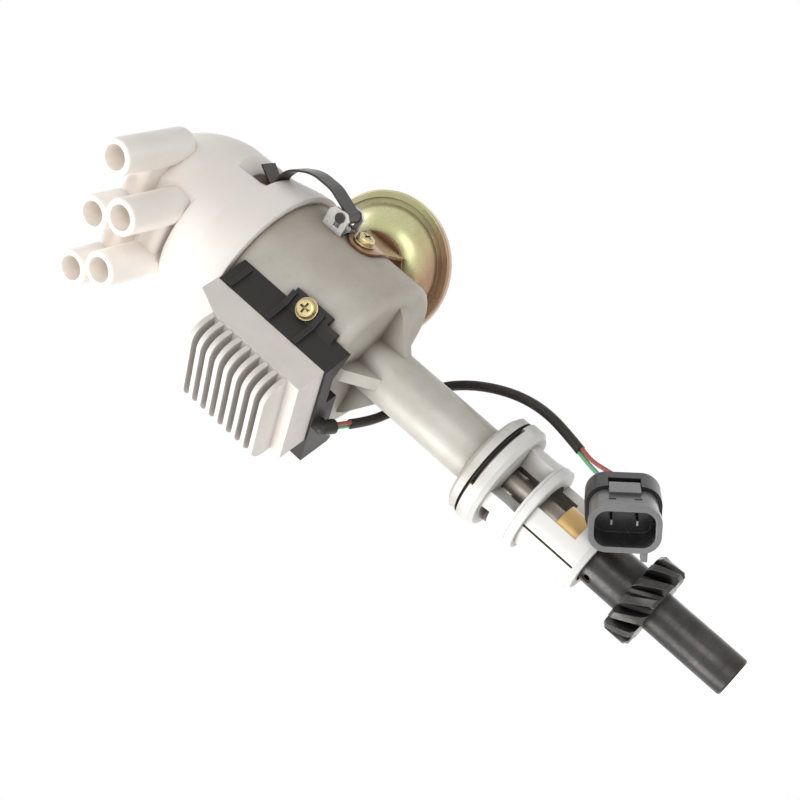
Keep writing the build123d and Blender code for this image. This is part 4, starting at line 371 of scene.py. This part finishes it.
@dataclass(frozen=True)
class Finish:
    """One finish: how a surface is coloured, worn and marked."""

    name: str
    colour: Colour
    shade: Colour
    # colour of corners and gaps: painted shade, with some grime
    grime_and_shade: Colour
    wear: Colour
    grain: Grain = Grain.CAST
    scale: float = 900.0
    depth: float = 0.02 * MM
    rough: tuple[float, float] = (0.4, 0.55)
    metallic: float = 0.0
    coat: float = 0.0
    coat_rough: float = 0.2
    specular: float = 0.5
    edge: float = 0.35 * MM
    edge_share: float = 0.5
    # how far corners and gaps go to that colour, painted shade and grime; reach is how far the occlusion looks
    grime_and_shade_share: float = 0.6
    reach: float = 3.0 * MM
    # painted sheen: the colour that grazing angles turn to
    sheen_tint: Colour | None = None
    drifts: tuple[Drift, ...] = ()
    subsurface: float = 0.0

    def material(self, effects: Effects) -> bpy.types.Material:
        """Builds the finish, or finds it if it is built.

        Args:
            effects: the shared groups.

        Returns:
            The material.
        """
        found = bpy.data.materials.get(self.name + FINISH_SUFFIX)
        if found is not None:
            return found
        material = bpy.data.materials.new(self.name + FINISH_SUFFIX)
        material.use_nodes = True
        graph = Graph(material.node_tree)
        shader = material.node_tree.nodes["Principled BSDF"]
        grain = graph.add("Group", node_tree=effects.grains[self.grain])
        grain.inputs["Scale"].default_value = self.scale
        edges = graph.add("Group", node_tree=effects.edges)
        edges.inputs["Radius"].default_value = self.edge
        graph.feed(shader.inputs["Base Color"], self._colour(graph, effects, grain, edges))
        graph.feed(shader.inputs["Roughness"], graph.ramp(grain.outputs["Tone"], 0.0, 1.0, *self.rough))
        uniform = {
            "Metallic": self.metallic,
            "Coat Weight": self.coat,
            "Coat Roughness": self.coat_rough,
            "Specular IOR Level": self.specular,
            "Subsurface Weight": self.subsurface,
            "Subsurface Scale": SUBSURFACE_DEPTH,
            "Subsurface Radius": SUBSURFACE_REACH,
        }
        for label, value in uniform.items():
            shader.inputs[label].default_value = value
        bump = {"Height": grain.outputs["Height"], "Normal": edges.outputs["Normal"]}
        bump |= {"Strength": BUMP_STRENGTH, "Distance": self.depth}
        graph.feed(shader.inputs["Normal"], graph.add("Bump", bump).outputs[0])
        return material

    def _colour(
        self, graph: Graph, effects: Effects, grain: bpy.types.Node, edges: bpy.types.Node
    ) -> bpy.types.NodeSocket:
        """Mixes the tones of the surface with its drifts, painted sheen, worn edges, and grime with painted shade in
        its corners and gaps.

        Args:
            graph: the material's graph.
            effects: the shared groups.
            grain: the node that gives the tone.
            edges: the node that marks the edges.

        Returns:
            The colour.
        """
        # Painted shade, with some grime: corners and gaps that light hardly reaches are darkened.
        crevices = graph.add("Group", node_tree=effects.crevices)
        crevices.inputs["Reach"].default_value = self.reach
        colour = graph.blend(grain.outputs["Tone"], self.colour, self.shade)
        # Drifts: painted shade and painted highlight on some finishes, the metal's own tone on others.
        for drift in self.drifts:
            place = graph.on_object()
            cloud = graph.math("MULTIPLY", graph.noise(place, DRIFT_CLOUD_SCALE, 4.0), drift.spread)
            way = graph.math("ADD", graph.dot(place, drift.along), cloud)
            share = graph.ramp(way, drift.start, drift.end, 0.0, drift.share)
            colour = graph.blend(share, colour, drift.colour)
        # Painted sheen: towards grazing angles the colour turns to the sheen colour.
        if self.sheen_tint is not None:
            facing = graph.add("LayerWeight", {"Blend": SHEEN_BLEND}).outputs["Facing"]
            colour = graph.blend(facing, colour, self.sheen_tint)
        worn = graph.math("MULTIPLY", edges.outputs["Edge"], self.edge_share)
        colour = graph.blend(worn, colour, self.wear)
        grimed_and_shaded = graph.math("MULTIPLY", crevices.outputs["Mask"], self.grime_and_shade_share)
        return graph.blend(grimed_and_shaded, colour, self.grime_and_shade)


CAST_ALUMINIUM = Finish(
    "cast_aluminium", (0.63, 0.605, 0.55), (0.52, 0.495, 0.435), (0.10, 0.070, 0.048), (0.78, 0.77, 0.73),
    # The long reach paints shade, with some grime, on the bowl next to the module and under the cap.
    rough=(0.40, 0.52), metallic=0.1, scale=1100.0, depth=0.03 * MM, specular=0.3, reach=13.0 * MM, grime_and_shade_share=0.9,
    drifts=(
        # Painted shade: browner and darker on the side away from the key lamp.
        Drift((0.36, 0.30, 0.235), (1.0, 0.0, 0.2), 0.036, 0.075, 0.6),
        # Lighter below the bowl: partly the machined metal's own brighter tone, partly painted light.
        Drift((0.86, 0.855, 0.83), (0.0, 0.0, -1.0), 0.000, 0.016, 0.9),
    ),
)
COOLER_PAINT = Finish(
    "cooler_paint", (0.83, 0.775, 0.73), (0.76, 0.71, 0.665), (0.33, 0.31, 0.30), (0.93, 0.92, 0.90),
    rough=(0.5, 0.62), scale=1500.0, depth=0.03 * MM, specular=0.3, reach=5.0 * MM, grime_and_shade_share=0.6,
)
CAP_WHITE = Finish(
    "cap_white", (0.96, 0.90, 0.85), (0.94, 0.87, 0.815), (0.66, 0.60, 0.53), (0.97, 0.95, 0.93),
    grain=Grain.MOULDED, rough=(0.32, 0.42), depth=0.012 * MM, edge=0.8 * MM, reach=6.0 * MM, grime_and_shade_share=0.3,
    subsurface=0.5,
)
BLACK_PLASTIC = Finish(
    "black_plastic", (0.032, 0.029, 0.026), (0.020, 0.018, 0.016), (0.006, 0.006, 0.006), (0.14, 0.135, 0.13),
    grain=Grain.MOULDED, rough=(0.38, 0.5), depth=0.02 * MM, specular=0.3, edge=0.5 * MM,
)
BROWN_PLASTIC = Finish(
    "brown_plastic", (0.20, 0.09, 0.045), (0.16, 0.07, 0.035), (0.05, 0.025, 0.015), (0.30, 0.16, 0.09),
    grain=Grain.MOULDED, rough=(0.35, 0.5),
)
PLUG_GREY = Finish(
    "plug_grey", (0.19, 0.19, 0.192), (0.14, 0.14, 0.142), (0.006, 0.006, 0.006), (0.38, 0.38, 0.38),
    # Painted shade: the long reach makes the plug's mouth near black inside.
    grain=Grain.MOULDED, rough=(0.24, 0.32), coat=0.15, edge=0.7 * MM, reach=20.0 * MM, grime_and_shade_share=1.0,
)
LOCK_BLACK = Finish(
    "lock_black", (0.016, 0.016, 0.016), (0.009, 0.009, 0.009), (0.004, 0.004, 0.004), (0.10, 0.10, 0.10),
    grain=Grain.MOULDED, rough=(0.30, 0.38), specular=0.35, edge=0.25 * MM,
)
RUBBER = Finish(
    "rubber", (0.05, 0.044, 0.04), (0.035, 0.031, 0.028), (0.012, 0.011, 0.01), (0.10, 0.09, 0.085),
    grain=Grain.MOULDED, rough=(0.55, 0.7), specular=0.3,
)
SPRING_BLACK = Finish(
    "spring_black", (0.060, 0.050, 0.045), (0.034, 0.028, 0.025), (0.01, 0.01, 0.01), (0.26, 0.23, 0.21),
    scale=1800.0, depth=0.01 * MM, rough=(0.26, 0.38), metallic=0.4, edge=0.25 * MM,
)
BRIGHT_STEEL = Finish(
    "bright_steel", (0.66, 0.65, 0.62), (0.52, 0.51, 0.48), (0.08, 0.07, 0.065), (0.85, 0.85, 0.83),
    scale=1800.0, depth=0.01 * MM, rough=(0.22, 0.34), metallic=0.6, edge=0.2 * MM, grime_and_shade_share=0.85,
)
YELLOW_ZINC = Finish(
    "yellow_zinc", (0.68, 0.55, 0.27), (0.52, 0.42, 0.22), (0.07, 0.045, 0.02), (0.92, 0.87, 0.68),
    scale=1600.0, depth=0.008 * MM, rough=(0.22, 0.34), metallic=0.85, edge=0.35 * MM,
    sheen_tint=(0.46, 0.40, 0.26), reach=2.5 * MM, grime_and_shade_share=1.0,
)
CANISTER_ZINC = Finish(
    "canister_zinc", (0.60, 0.64, 0.32), (0.60, 0.55, 0.31), (0.12, 0.07, 0.045), (0.80, 0.78, 0.60),
    scale=1300.0, depth=0.01 * MM, rough=(0.24, 0.36), metallic=0.45, edge=0.4 * MM,
    sheen_tint=(0.60, 0.52, 0.36), reach=7.0 * MM, grime_and_shade_share=0.65,
    drifts=(
        # Pink-brown towards the lower side: partly the plating's own tint, partly painted shade.
        Drift((0.36, 0.17, 0.11), (0.35, 0.0, -0.94), -0.080, -0.064, 0.9),
        # Painted highlight: a pale straw patch on the upper side, where a lamp's reflection falls.
        Drift((0.96, 0.90, 0.76), (-0.60, 0.0, 0.80), 0.100, 0.122, 0.95),
    ),
)
COPPER_ZINC = Finish(
    "copper_zinc", (0.40, 0.245, 0.135), (0.24, 0.135, 0.075), (0.05, 0.025, 0.015), (0.62, 0.46, 0.28),
    scale=1400.0, depth=0.01 * MM, rough=(0.26, 0.38), metallic=0.6, edge=0.5 * MM,
    sheen_tint=(0.34, 0.17, 0.10), reach=5.0 * MM, grime_and_shade_share=0.85,
)
SHAFT_STEEL = Finish(
    "shaft_steel", (0.105, 0.092, 0.082), (0.060, 0.053, 0.047), (0.02, 0.017, 0.014), (0.30, 0.29, 0.27),
    grain=Grain.TURNED, depth=0.006 * MM, rough=(0.28, 0.42), metallic=0.6,
    drifts=(Drift((0.30, 0.265, 0.225), (0.0, 0.0, 1.0), -0.060, -0.052, 0.9),),
)
GEAR_STEEL = Finish(
    "gear_steel", (0.060, 0.055, 0.053), (0.020, 0.018, 0.018), (0.006, 0.005, 0.005), (0.22, 0.21, 0.205),
    grain=Grain.TURNED, scale=1700.0, depth=0.03 * MM, rough=(0.26, 0.42), metallic=0.5, edge=0.4 * MM,
    reach=5.0 * MM, grime_and_shade_share=0.9,
)
BRONZE = Finish(
    "bronze", (0.68, 0.45, 0.18), (0.58, 0.37, 0.14), (0.14, 0.08, 0.03), (0.82, 0.62, 0.34),
    scale=2000.0, depth=0.008 * MM, rough=(0.34, 0.46), metallic=0.4,
)
BRASS = Finish(
    "brass", (0.66, 0.48, 0.21), (0.56, 0.40, 0.17), (0.14, 0.09, 0.035), (0.80, 0.68, 0.44),
    scale=2000.0, depth=0.006 * MM, rough=(0.2, 0.32), metallic=0.9,
)
TIN = Finish(
    "tin", (0.30, 0.30, 0.295), (0.22, 0.22, 0.215), (0.02, 0.02, 0.02), (0.5, 0.5, 0.49),
    # Painted shade: the long reach darkens the pins deep in the plug's mouth.
    scale=2000.0, depth=0.006 * MM, rough=(0.25, 0.35), metallic=0.8, reach=12.0 * MM, grime_and_shade_share=0.9,
)
IRON = Finish(
    "iron", (0.20, 0.20, 0.20), (0.15, 0.15, 0.15), (0.04, 0.04, 0.04), (0.4, 0.4, 0.4),
    scale=1500.0, rough=(0.4, 0.55), metallic=0.7,
)
CARBON = Finish(
    "carbon", (0.03, 0.03, 0.03), (0.02, 0.02, 0.02), (0.01, 0.01, 0.01), (0.06, 0.06, 0.06), rough=(0.4, 0.6)
)
SLEEVE_BLACK = Finish(
    "sleeve_black", (0.030, 0.026, 0.022), (0.020, 0.017, 0.014), (0.006, 0.006, 0.006), (0.05, 0.045, 0.04),
    grain=Grain.WOVEN, depth=0.05 * MM, rough=(0.42, 0.55), grime_and_shade_share=0.2, specular=0.3,
)
RED_INSULATION = Finish(
    "red_insulation", (0.45, 0.10, 0.09), (0.38, 0.08, 0.072), (0.12, 0.02, 0.02), (0.5, 0.16, 0.14),
    grain=Grain.MOULDED, rough=(0.3, 0.4), grime_and_shade_share=0.3,
)
GREEN_INSULATION = Finish(
    "green_insulation", (0.17, 0.50, 0.26), (0.14, 0.43, 0.22), (0.03, 0.1, 0.04), (0.26, 0.56, 0.36),
    grain=Grain.MOULDED, rough=(0.3, 0.4), grime_and_shade_share=0.3,
)


@dataclass
class Kit:
    """The model's nodes with the means to dress them."""

    nodes: dict[str, bpy.types.Object]
    effects: Effects = field(default_factory=Effects)

    def dress(self, finish: Finish, *names: str) -> None:
        """Gives nodes of the model a finish.

        Args:
            finish: the finish.
            names: the nodes.
        """
        for name in names:
            self.paint(self.nodes[name], finish)
            LOG.info("%s in %s", name, finish.name)

    def paint(self, piece: bpy.types.Object, finish: Finish) -> None:
        """Gives one object a finish.

        Args:
            piece: the object.
            finish: the finish.
        """
        material = finish.material(self.effects)
        if not piece.material_slots:
            piece.data.materials.append(material)
        for slot in piece.material_slots:
            slot.link = "OBJECT"
            slot.material = material

    def add(self, piece: bpy.types.Object, finish: Finish, body: str, slot: str, *nodes: str) -> bpy.types.Object:
        """Paints a new piece, lets it ride and hides the nodes that it stands for.

        Args:
            piece: the new object.
            finish: its finish.
            body: the body that it rides on.
            slot: not used.
            nodes: the nodes that it stands for.

        Returns:
            The piece.
        """
        self.paint(piece, finish)
        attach(piece, body)
        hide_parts(*nodes)
        LOG.info("%s rides on %s", piece.name, body)
        return piece


def link(name: str, data: Any) -> bpy.types.Object:
    """Makes an object of some data and puts it in the scene.

    Args:
        name: the object's name.
        data: its mesh, curve, lamp or camera.

    Returns:
        The object.
    """
    piece = bpy.data.objects.new(name, data)
    bpy.context.scene.collection.objects.link(piece)
    return piece


@dataclass
class Coil:
    """A wire wound to a helix between two points, as one closed tube."""

    start: Point
    end: Point
    radius: float
    wire: float
    turns: float
    leads: tuple[Point, Point] | None = None
    steps: int = 16
    sides: int = 8

    def line(self) -> list[Vector]:
        """Works out the wire's middle line.

        Returns:
            The points.
        """
        start, end = Vector(self.start), Vector(self.end)
        axis = end - start
        across = axis.orthogonal().normalized()
        side = axis.normalized().cross(across)
        count = round(self.turns * self.steps)
        points = []
        for index in range(count + 1):
            share = index / count
            turn = share * self.turns * math.tau
            points.append(start + axis * share + (across * math.cos(turn) + side * math.sin(turn)) * self.radius)
        if self.leads is not None:
            points = [Vector(self.leads[0]), start, *points, end, Vector(self.leads[1])]
        return points

    def add_to(self, shape: bmesh.types.BMesh) -> None:
        """Adds the tube to a mesh.

        Args:
            shape: the mesh that is being built.
        """
        points = self.line()
        normal = (points[1] - points[0]).orthogonal().normalized()
        rings = []
        for index, place in enumerate(points):
            ahead = points[min(index + 1, len(points) - 1)] - points[max(index - 1, 0)]
            tangent = ahead.normalized()
            normal = (normal - tangent * normal.dot(tangent)).normalized()
            side = tangent.cross(normal)
            ring = []
            for corner in range(self.sides):
                turn = corner * math.tau / self.sides
                ring.append(shape.verts.new(place + (normal * math.cos(turn) + side * math.sin(turn)) * self.wire))
            rings.append(ring)
        for first, second in zip(rings, rings[1:]):
            for corner in range(self.sides):
                after = (corner + 1) % self.sides
                shape.faces.new((first[corner], first[after], second[after], second[corner]))
        shape.faces.new(tuple(reversed(rings[0])))
        shape.faces.new(rings[-1])


def wound(name: str, coils: Sequence[Coil]) -> bpy.types.Object:
    """Makes one object of some coils.

    Args:
        name: the object's name.
        coils: the coils.

    Returns:
        The object.
    """
    shape = bmesh.new()
    for coil in coils:
        coil.add_to(shape)
    bmesh.ops.recalc_face_normals(shape, faces=shape.faces)
    data = bpy.data.meshes.new(name)
    shape.to_mesh(data)
    shape.free()
    for face in data.polygons:
        face.use_smooth = True
    return link(name, data)


@dataclass
class Housing:
    """Cast housing with its seal ring, bushes and the drive that turns in it."""

    kit: Kit

    def build(self) -> None:
        """Dresses the casting, the shaft and the gear."""
        self.kit.dress(CAST_ALUMINIUM, "housing")
        self.kit.dress(RUBBER, "seal_ring")
        self.kit.dress(BRONZE, "lower_bush", "upper_bush")
        self.kit.dress(SHAFT_STEEL, "main_shaft", "thrust_washer")
        self.kit.dress(GEAR_STEEL, "drive_gear", "roll_pin")


@dataclass
class Governor:
    """Plate, weights, return springs and the sleeve with its reluctor and rotor."""

    kit: Kit
    weight_post: Point = (-9.46 * MM, -21.24 * MM, 109.7 * MM)
    plate_post: Point = (-21.37 * MM, -11.36 * MM, 109.7 * MM)
    end_gap: float = 2.2 * MM
    hook_inset: float = 0.75 * MM
    coil_radius: float = 1.6 * MM
    wire: float = 0.25 * MM
    turns: float = 11.0

    def springs(self) -> bpy.types.Object:
        """Winds both return springs, each hooked over its two posts.

        Returns:
            The springs.
        """
        coils = []
        for turn in (0.0, math.pi):
            spin = Matrix.Rotation(turn, 3, "Z")
            start, end = spin @ Vector(self.weight_post), spin @ Vector(self.plate_post)
            ahead = (end - start).normalized()
            first, last = start + ahead * self.end_gap, end - ahead * self.end_gap
            leads = (tuple(start + ahead * self.hook_inset), tuple(end - ahead * self.hook_inset))
            coils.append(Coil(tuple(first), tuple(last), self.coil_radius, self.wire, self.turns, leads))
        return wound("governor_spring_coils", coils)

    def build(self) -> None:
        """Winds the springs and dresses the rest."""
        self.kit.add(self.springs(), SPRING_BLACK, "shaft", "spring_steel", "governor_springs")
        self.kit.dress(BRIGHT_STEEL, "governor_plate")
        self.kit.dress(IRON, "governor_weight_a", "governor_weight_b", "reluctor")
        self.kit.dress(SHAFT_STEEL, "cam_sleeve")
        self.kit.dress(BROWN_PLASTIC, "rotor")
        self.kit.dress(BRASS, "rotor_contact")


@dataclass
class Pickup:
    """Base plate, turning plate and the coil that reads the reluctor."""

    kit: Kit

    def build(self) -> None:
        """Dresses the pickup."""
        self.kit.dress(BRIGHT_STEEL, "pickup_base", "pickup_plate")
        self.kit.dress(YELLOW_ZINC, "base_screws")
        self.kit.dress(IRON, "pickup_core")
        self.kit.dress(BLACK_PLASTIC, "pickup_coil")


@dataclass
class Canister:
    """Vacuum canister with its diaphragm, spring, nipple, link and strap."""

    kit: Kit
    azimuth: float = math.radians(161.0)
    offset: float = -18.0 * MM
    height: float = 130.6 * MM
    spring_start: float = 71.9 * MM
    spring_end: float = 80.3 * MM
    spring_radius: float = 7.9 * MM
    wire: float = 0.6 * MM
    turns: float = 4.5
    steps: int = 24

    def spring(self) -> bpy.types.Object:
        """Winds the diaphragm's return spring.

        Returns:
            The spring.
        """
        outward = Vector((math.sin(self.azimuth), -math.cos(self.azimuth), 0.0))
        sideways = Vector((math.cos(self.azimuth), math.sin(self.azimuth), 0.0))
        middle = sideways * self.offset + Vector((0.0, 0.0, self.height))
        start = tuple(middle + outward * self.spring_start)
        end = tuple(middle + outward * self.spring_end)
        coil = Coil(start, end, self.spring_radius, self.wire, self.turns, steps=self.steps)
        return wound("diaphragm_coil", [coil])

    def build(self) -> None:
        """Winds the spring and dresses the rest."""
        self.kit.add(self.spring(), SPRING_BLACK, "base", "spring_steel", "diaphragm_spring")
        self.kit.dress(CANISTER_ZINC, "canister_inner_shell", "canister_outer_shell")
        self.kit.dress(RUBBER, "diaphragm")
        self.kit.dress(BRIGHT_STEEL, "diaphragm_plate", "link_rod")
        self.kit.dress(BRASS, "hose_nipple")
        self.kit.dress(COPPER_ZINC, "canister_bracket")
        self.kit.dress(YELLOW_ZINC, "bracket_screws")


@dataclass
class Module:
    """Ignition module: case, finned cooler and screws."""

    kit: Kit

    def build(self) -> None:
        """Dresses the module."""
        self.kit.dress(COOLER_PAINT, "heat_sink")
        self.kit.dress(BLACK_PLASTIC, "module_case")
        self.kit.dress(YELLOW_ZINC, "module_screws")


@dataclass
class Clips:
    """The two spring clips with their brackets and pins."""

    kit: Kit

    def build(self) -> None:
        """Dresses the clips."""
        self.kit.dress(SPRING_BLACK, "clip_front", "clip_rear", "clip_pins")
        self.kit.dress(BRIGHT_STEEL, "clip_brackets")


@dataclass
class Cap:
    """Distributor cap with its terminals, brush and brush spring."""

    kit: Kit
    spring_start: float = 180.3 * MM
    spring_end: float = 186.5 * MM
    spring_radius: float = 1.95 * MM
    wire: float = 0.3 * MM
    turns: float = 6.0
    brush_travel: float = 1.2 * MM

    def spring(self) -> bpy.types.Object:
        """Winds the brush spring.

        Returns:
            The spring.
        """
        start, end = (0.0, 0.0, self.spring_start), (0.0, 0.0, self.spring_end)
        return wound("brush_coil", [Coil(start, end, self.spring_radius, self.wire, self.turns)])

    def build(self) -> None:
        """Winds the spring and dresses the rest."""
        spring = self.kit.add(self.spring(), SPRING_BLACK, "base", "spring_steel", "brush_spring")
        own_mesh(spring)
        self.kit.dress(CAP_WHITE, "distributor_cap")
        self.kit.dress(BRASS, "plug_terminals", "coil_terminal")
        self.kit.dress(CARBON, "carbon_brush")


@dataclass
class Harness:
    """The sleeve with its wires, from the module to the plug. The route is the sleeve's middle line."""

    kit: Kit
    sleeve_radius: float = 2.25 * MM
    sleeve_length: float = 132.8 * MM
    route: tuple[Point, ...] = (
        (-0.0274, 0.0, 0.0709),
        (-0.0215, 0.0090, 0.0680),
        (-0.0120, 0.0170, 0.0652),
        (0.0005, 0.0206, 0.0615),
        (0.0122, 0.0184, 0.0556),
        (0.0208, 0.0130, 0.0450),
        (0.0272, 0.0070, 0.0328),
        (0.0315, 0.0020, 0.0199),
        (0.0328, -0.0028, 0.0074),
        (0.0316, -0.0074, -0.0046),
        (0.0294, -0.0118, -0.0160),
    )

    def strand(self) -> bpy.types.Object:
        """Makes the sleeve as one smooth strand.

        Returns:
            The strand.
        """
        data = bpy.data.curves.new("harness_sleeve", "CURVE")
        data.dimensions = "3D"
        data.bevel_depth = self.sleeve_radius
        data.bevel_resolution = 6
        data.resolution_u = 24
        data.use_fill_caps = True
        line = data.splines.new("NURBS")
        line.points.add(len(self.route) - 1)
        for knot, place in zip(line.points, self.route):
            knot.co = (*place, 1.0)
        line.order_u = 3
        line.use_endpoint_u = True
        return link("harness_sleeve", data)

    def build(self) -> None:
        sleeve = self.kit.add(self.strand(), SLEEVE_BLACK, "base", "cable_plastic", "cable_sleeve")
        self.kit.dress(GREEN_INSULATION, "green_wire")
        self.kit.dress(RED_INSULATION, "red_wire")
        self.kit.dress(PLUG_GREY, "connector_body")
        self.kit.dress(LOCK_BLACK, "connector_lock")
        self.kit.dress(TIN, "connector_pins")


@dataclass(frozen=True)
class Lamp:
    """One soft square lamp."""

    name: str
    place: Point
    aim: Point
    size: float
    power: float
    tint: Colour = (1.0, 1.0, 1.0)

    def hang(self) -> None:
        """Hangs the lamp at its place, turned to what it points at."""
        data = bpy.data.lights.new(self.name, "AREA")
        data.size = self.size
        data.energy = self.power
        data.color = self.tint
        lamp = link(self.name, data)
        lamp.location = self.place
        lamp.rotation_euler = (Vector(self.aim) - Vector(self.place)).to_track_quat("-Z", "Y").to_euler()


@dataclass
class Studio:
    """Camera, lamps, world and floor."""

    camera_place: Point = (0.0, -0.60663, -0.11613)
    yaw: float = -0.0078
    pitch: float = 0.28387
    roll: float = 0.84806
    lens: float = 64.54
    sensor: float = 36.0
    ambient: float = 0.30
    floor_z: float = -0.1250
    floor_half: float = 4.0
    floor_glow: float = 0.72
    floor_rough: float = 0.9
    floor_tones: tuple[Colour, Colour] = ((0.86, 0.86, 0.86), (0.88, 0.88, 0.88))
    lamps: tuple[Lamp, ...] = (
        Lamp("key", (-1.18, -0.30, 0.22), (0.0, 0.0, 0.04), 0.7, 11.3),
        Lamp("front", (0.15, -1.10, 0.10), (0.0, 0.0, 0.04), 0.6, 3.6),
        Lamp("top", (-0.15, -0.10, 1.15), (0.0, 0.0, 0.10), 0.9, 6.5, (1.0, 0.985, 0.96)),
        Lamp("back", (0.5, 1.0, 0.25), (0.0, 0.0, 0.08), 0.7, 1.2),
    )

    def camera(self) -> None:
        """Sets the camera at the photograph's viewing angle."""
        data = bpy.data.cameras.new("camera")
        data.lens = self.lens
        data.sensor_width = self.sensor
        level = math.cos(self.pitch)
        forward = Vector((math.sin(self.yaw) * level, math.cos(self.yaw) * level, math.sin(self.pitch)))
        right = Vector((math.cos(self.yaw), -math.sin(self.yaw), 0.0))
        up = right.cross(forward)
        c, s = math.cos(self.roll), math.sin(self.roll)
        turn = Matrix((right * c - up * s, right * s + up * c, -forward)).transposed().to_4x4()
        camera = link("camera", data)
        camera.matrix_world = Matrix.Translation(self.camera_place) @ turn
        bpy.context.scene.camera = camera

    def world(self) -> None:
        """Makes a white surrounding for the eye and for gloss, and a dimmer one for the light it sheds."""
        world = bpy.data.worlds.new("studio")
        bpy.context.scene.world = world
        world.use_nodes = True
        graph = Graph(world.node_tree)
        background = world.node_tree.nodes["Background"]
        background.inputs["Color"].default_value = (1.0, 1.0, 1.0, 1.0)
        strength = graph.ramp(graph.meets_white(), 0.0, 1.0, self.ambient, 1.0)
        graph.feed(background.inputs["Strength"], strength)

    def floor(self) -> None:
        """Lays a pale floor that keeps the shadow and looks white where none falls."""
        data = bpy.data.meshes.new("floor")
        shape = bmesh.new()
        bmesh.ops.create_grid(shape, x_segments=1, y_segments=1, size=self.floor_half)
        shape.to_mesh(data)
        shape.free()
        floor = link("floor", data)
        floor.location = (0.0, 0.0, self.floor_z)
        material = bpy.data.materials.new("pale_floor")
        material.use_nodes = True
        graph = Graph(material.node_tree)
        shader = material.node_tree.nodes["Principled BSDF"]
        shader.inputs["Roughness"].default_value = self.floor_rough
        shader.inputs["Specular IOR Level"].default_value = 0.0
        shader.inputs["Emission Color"].default_value = (1.0, 1.0, 1.0, 1.0)
        grain = graph.noise(graph.on_object(), 60.0, 3.0)
        graph.feed(shader.inputs["Base Color"], graph.blend(grain, *self.floor_tones))
        glow = graph.math("MULTIPLY", graph.meets_white(), self.floor_glow)
        graph.feed(shader.inputs["Emission Strength"], glow)
        data.materials.append(material)

    def build(self) -> None:
        """Builds the whole studio."""
        self.camera()
        self.world()
        self.floor()
        for lamp in self.lamps:
            lamp.hang()
            LOG.info("lamp %s hangs", lamp.name)
        bpy.context.scene.view_settings.view_transform = "Standard"


def main() -> None:
    """Builds the studio and then each sub-assembly."""
    logging.basicConfig(level=logging.INFO, format="%(name)s: %(message)s")
    kit = Kit(frame["nodes"])
    Studio().build()
    for assembly in (Harness, Housing, Governor, Pickup, Canister, Module, Clips, Cap):
        assembly(kit).build()
        LOG.info("%s done", assembly.__name__)


if __name__ == "__main__":
    main()
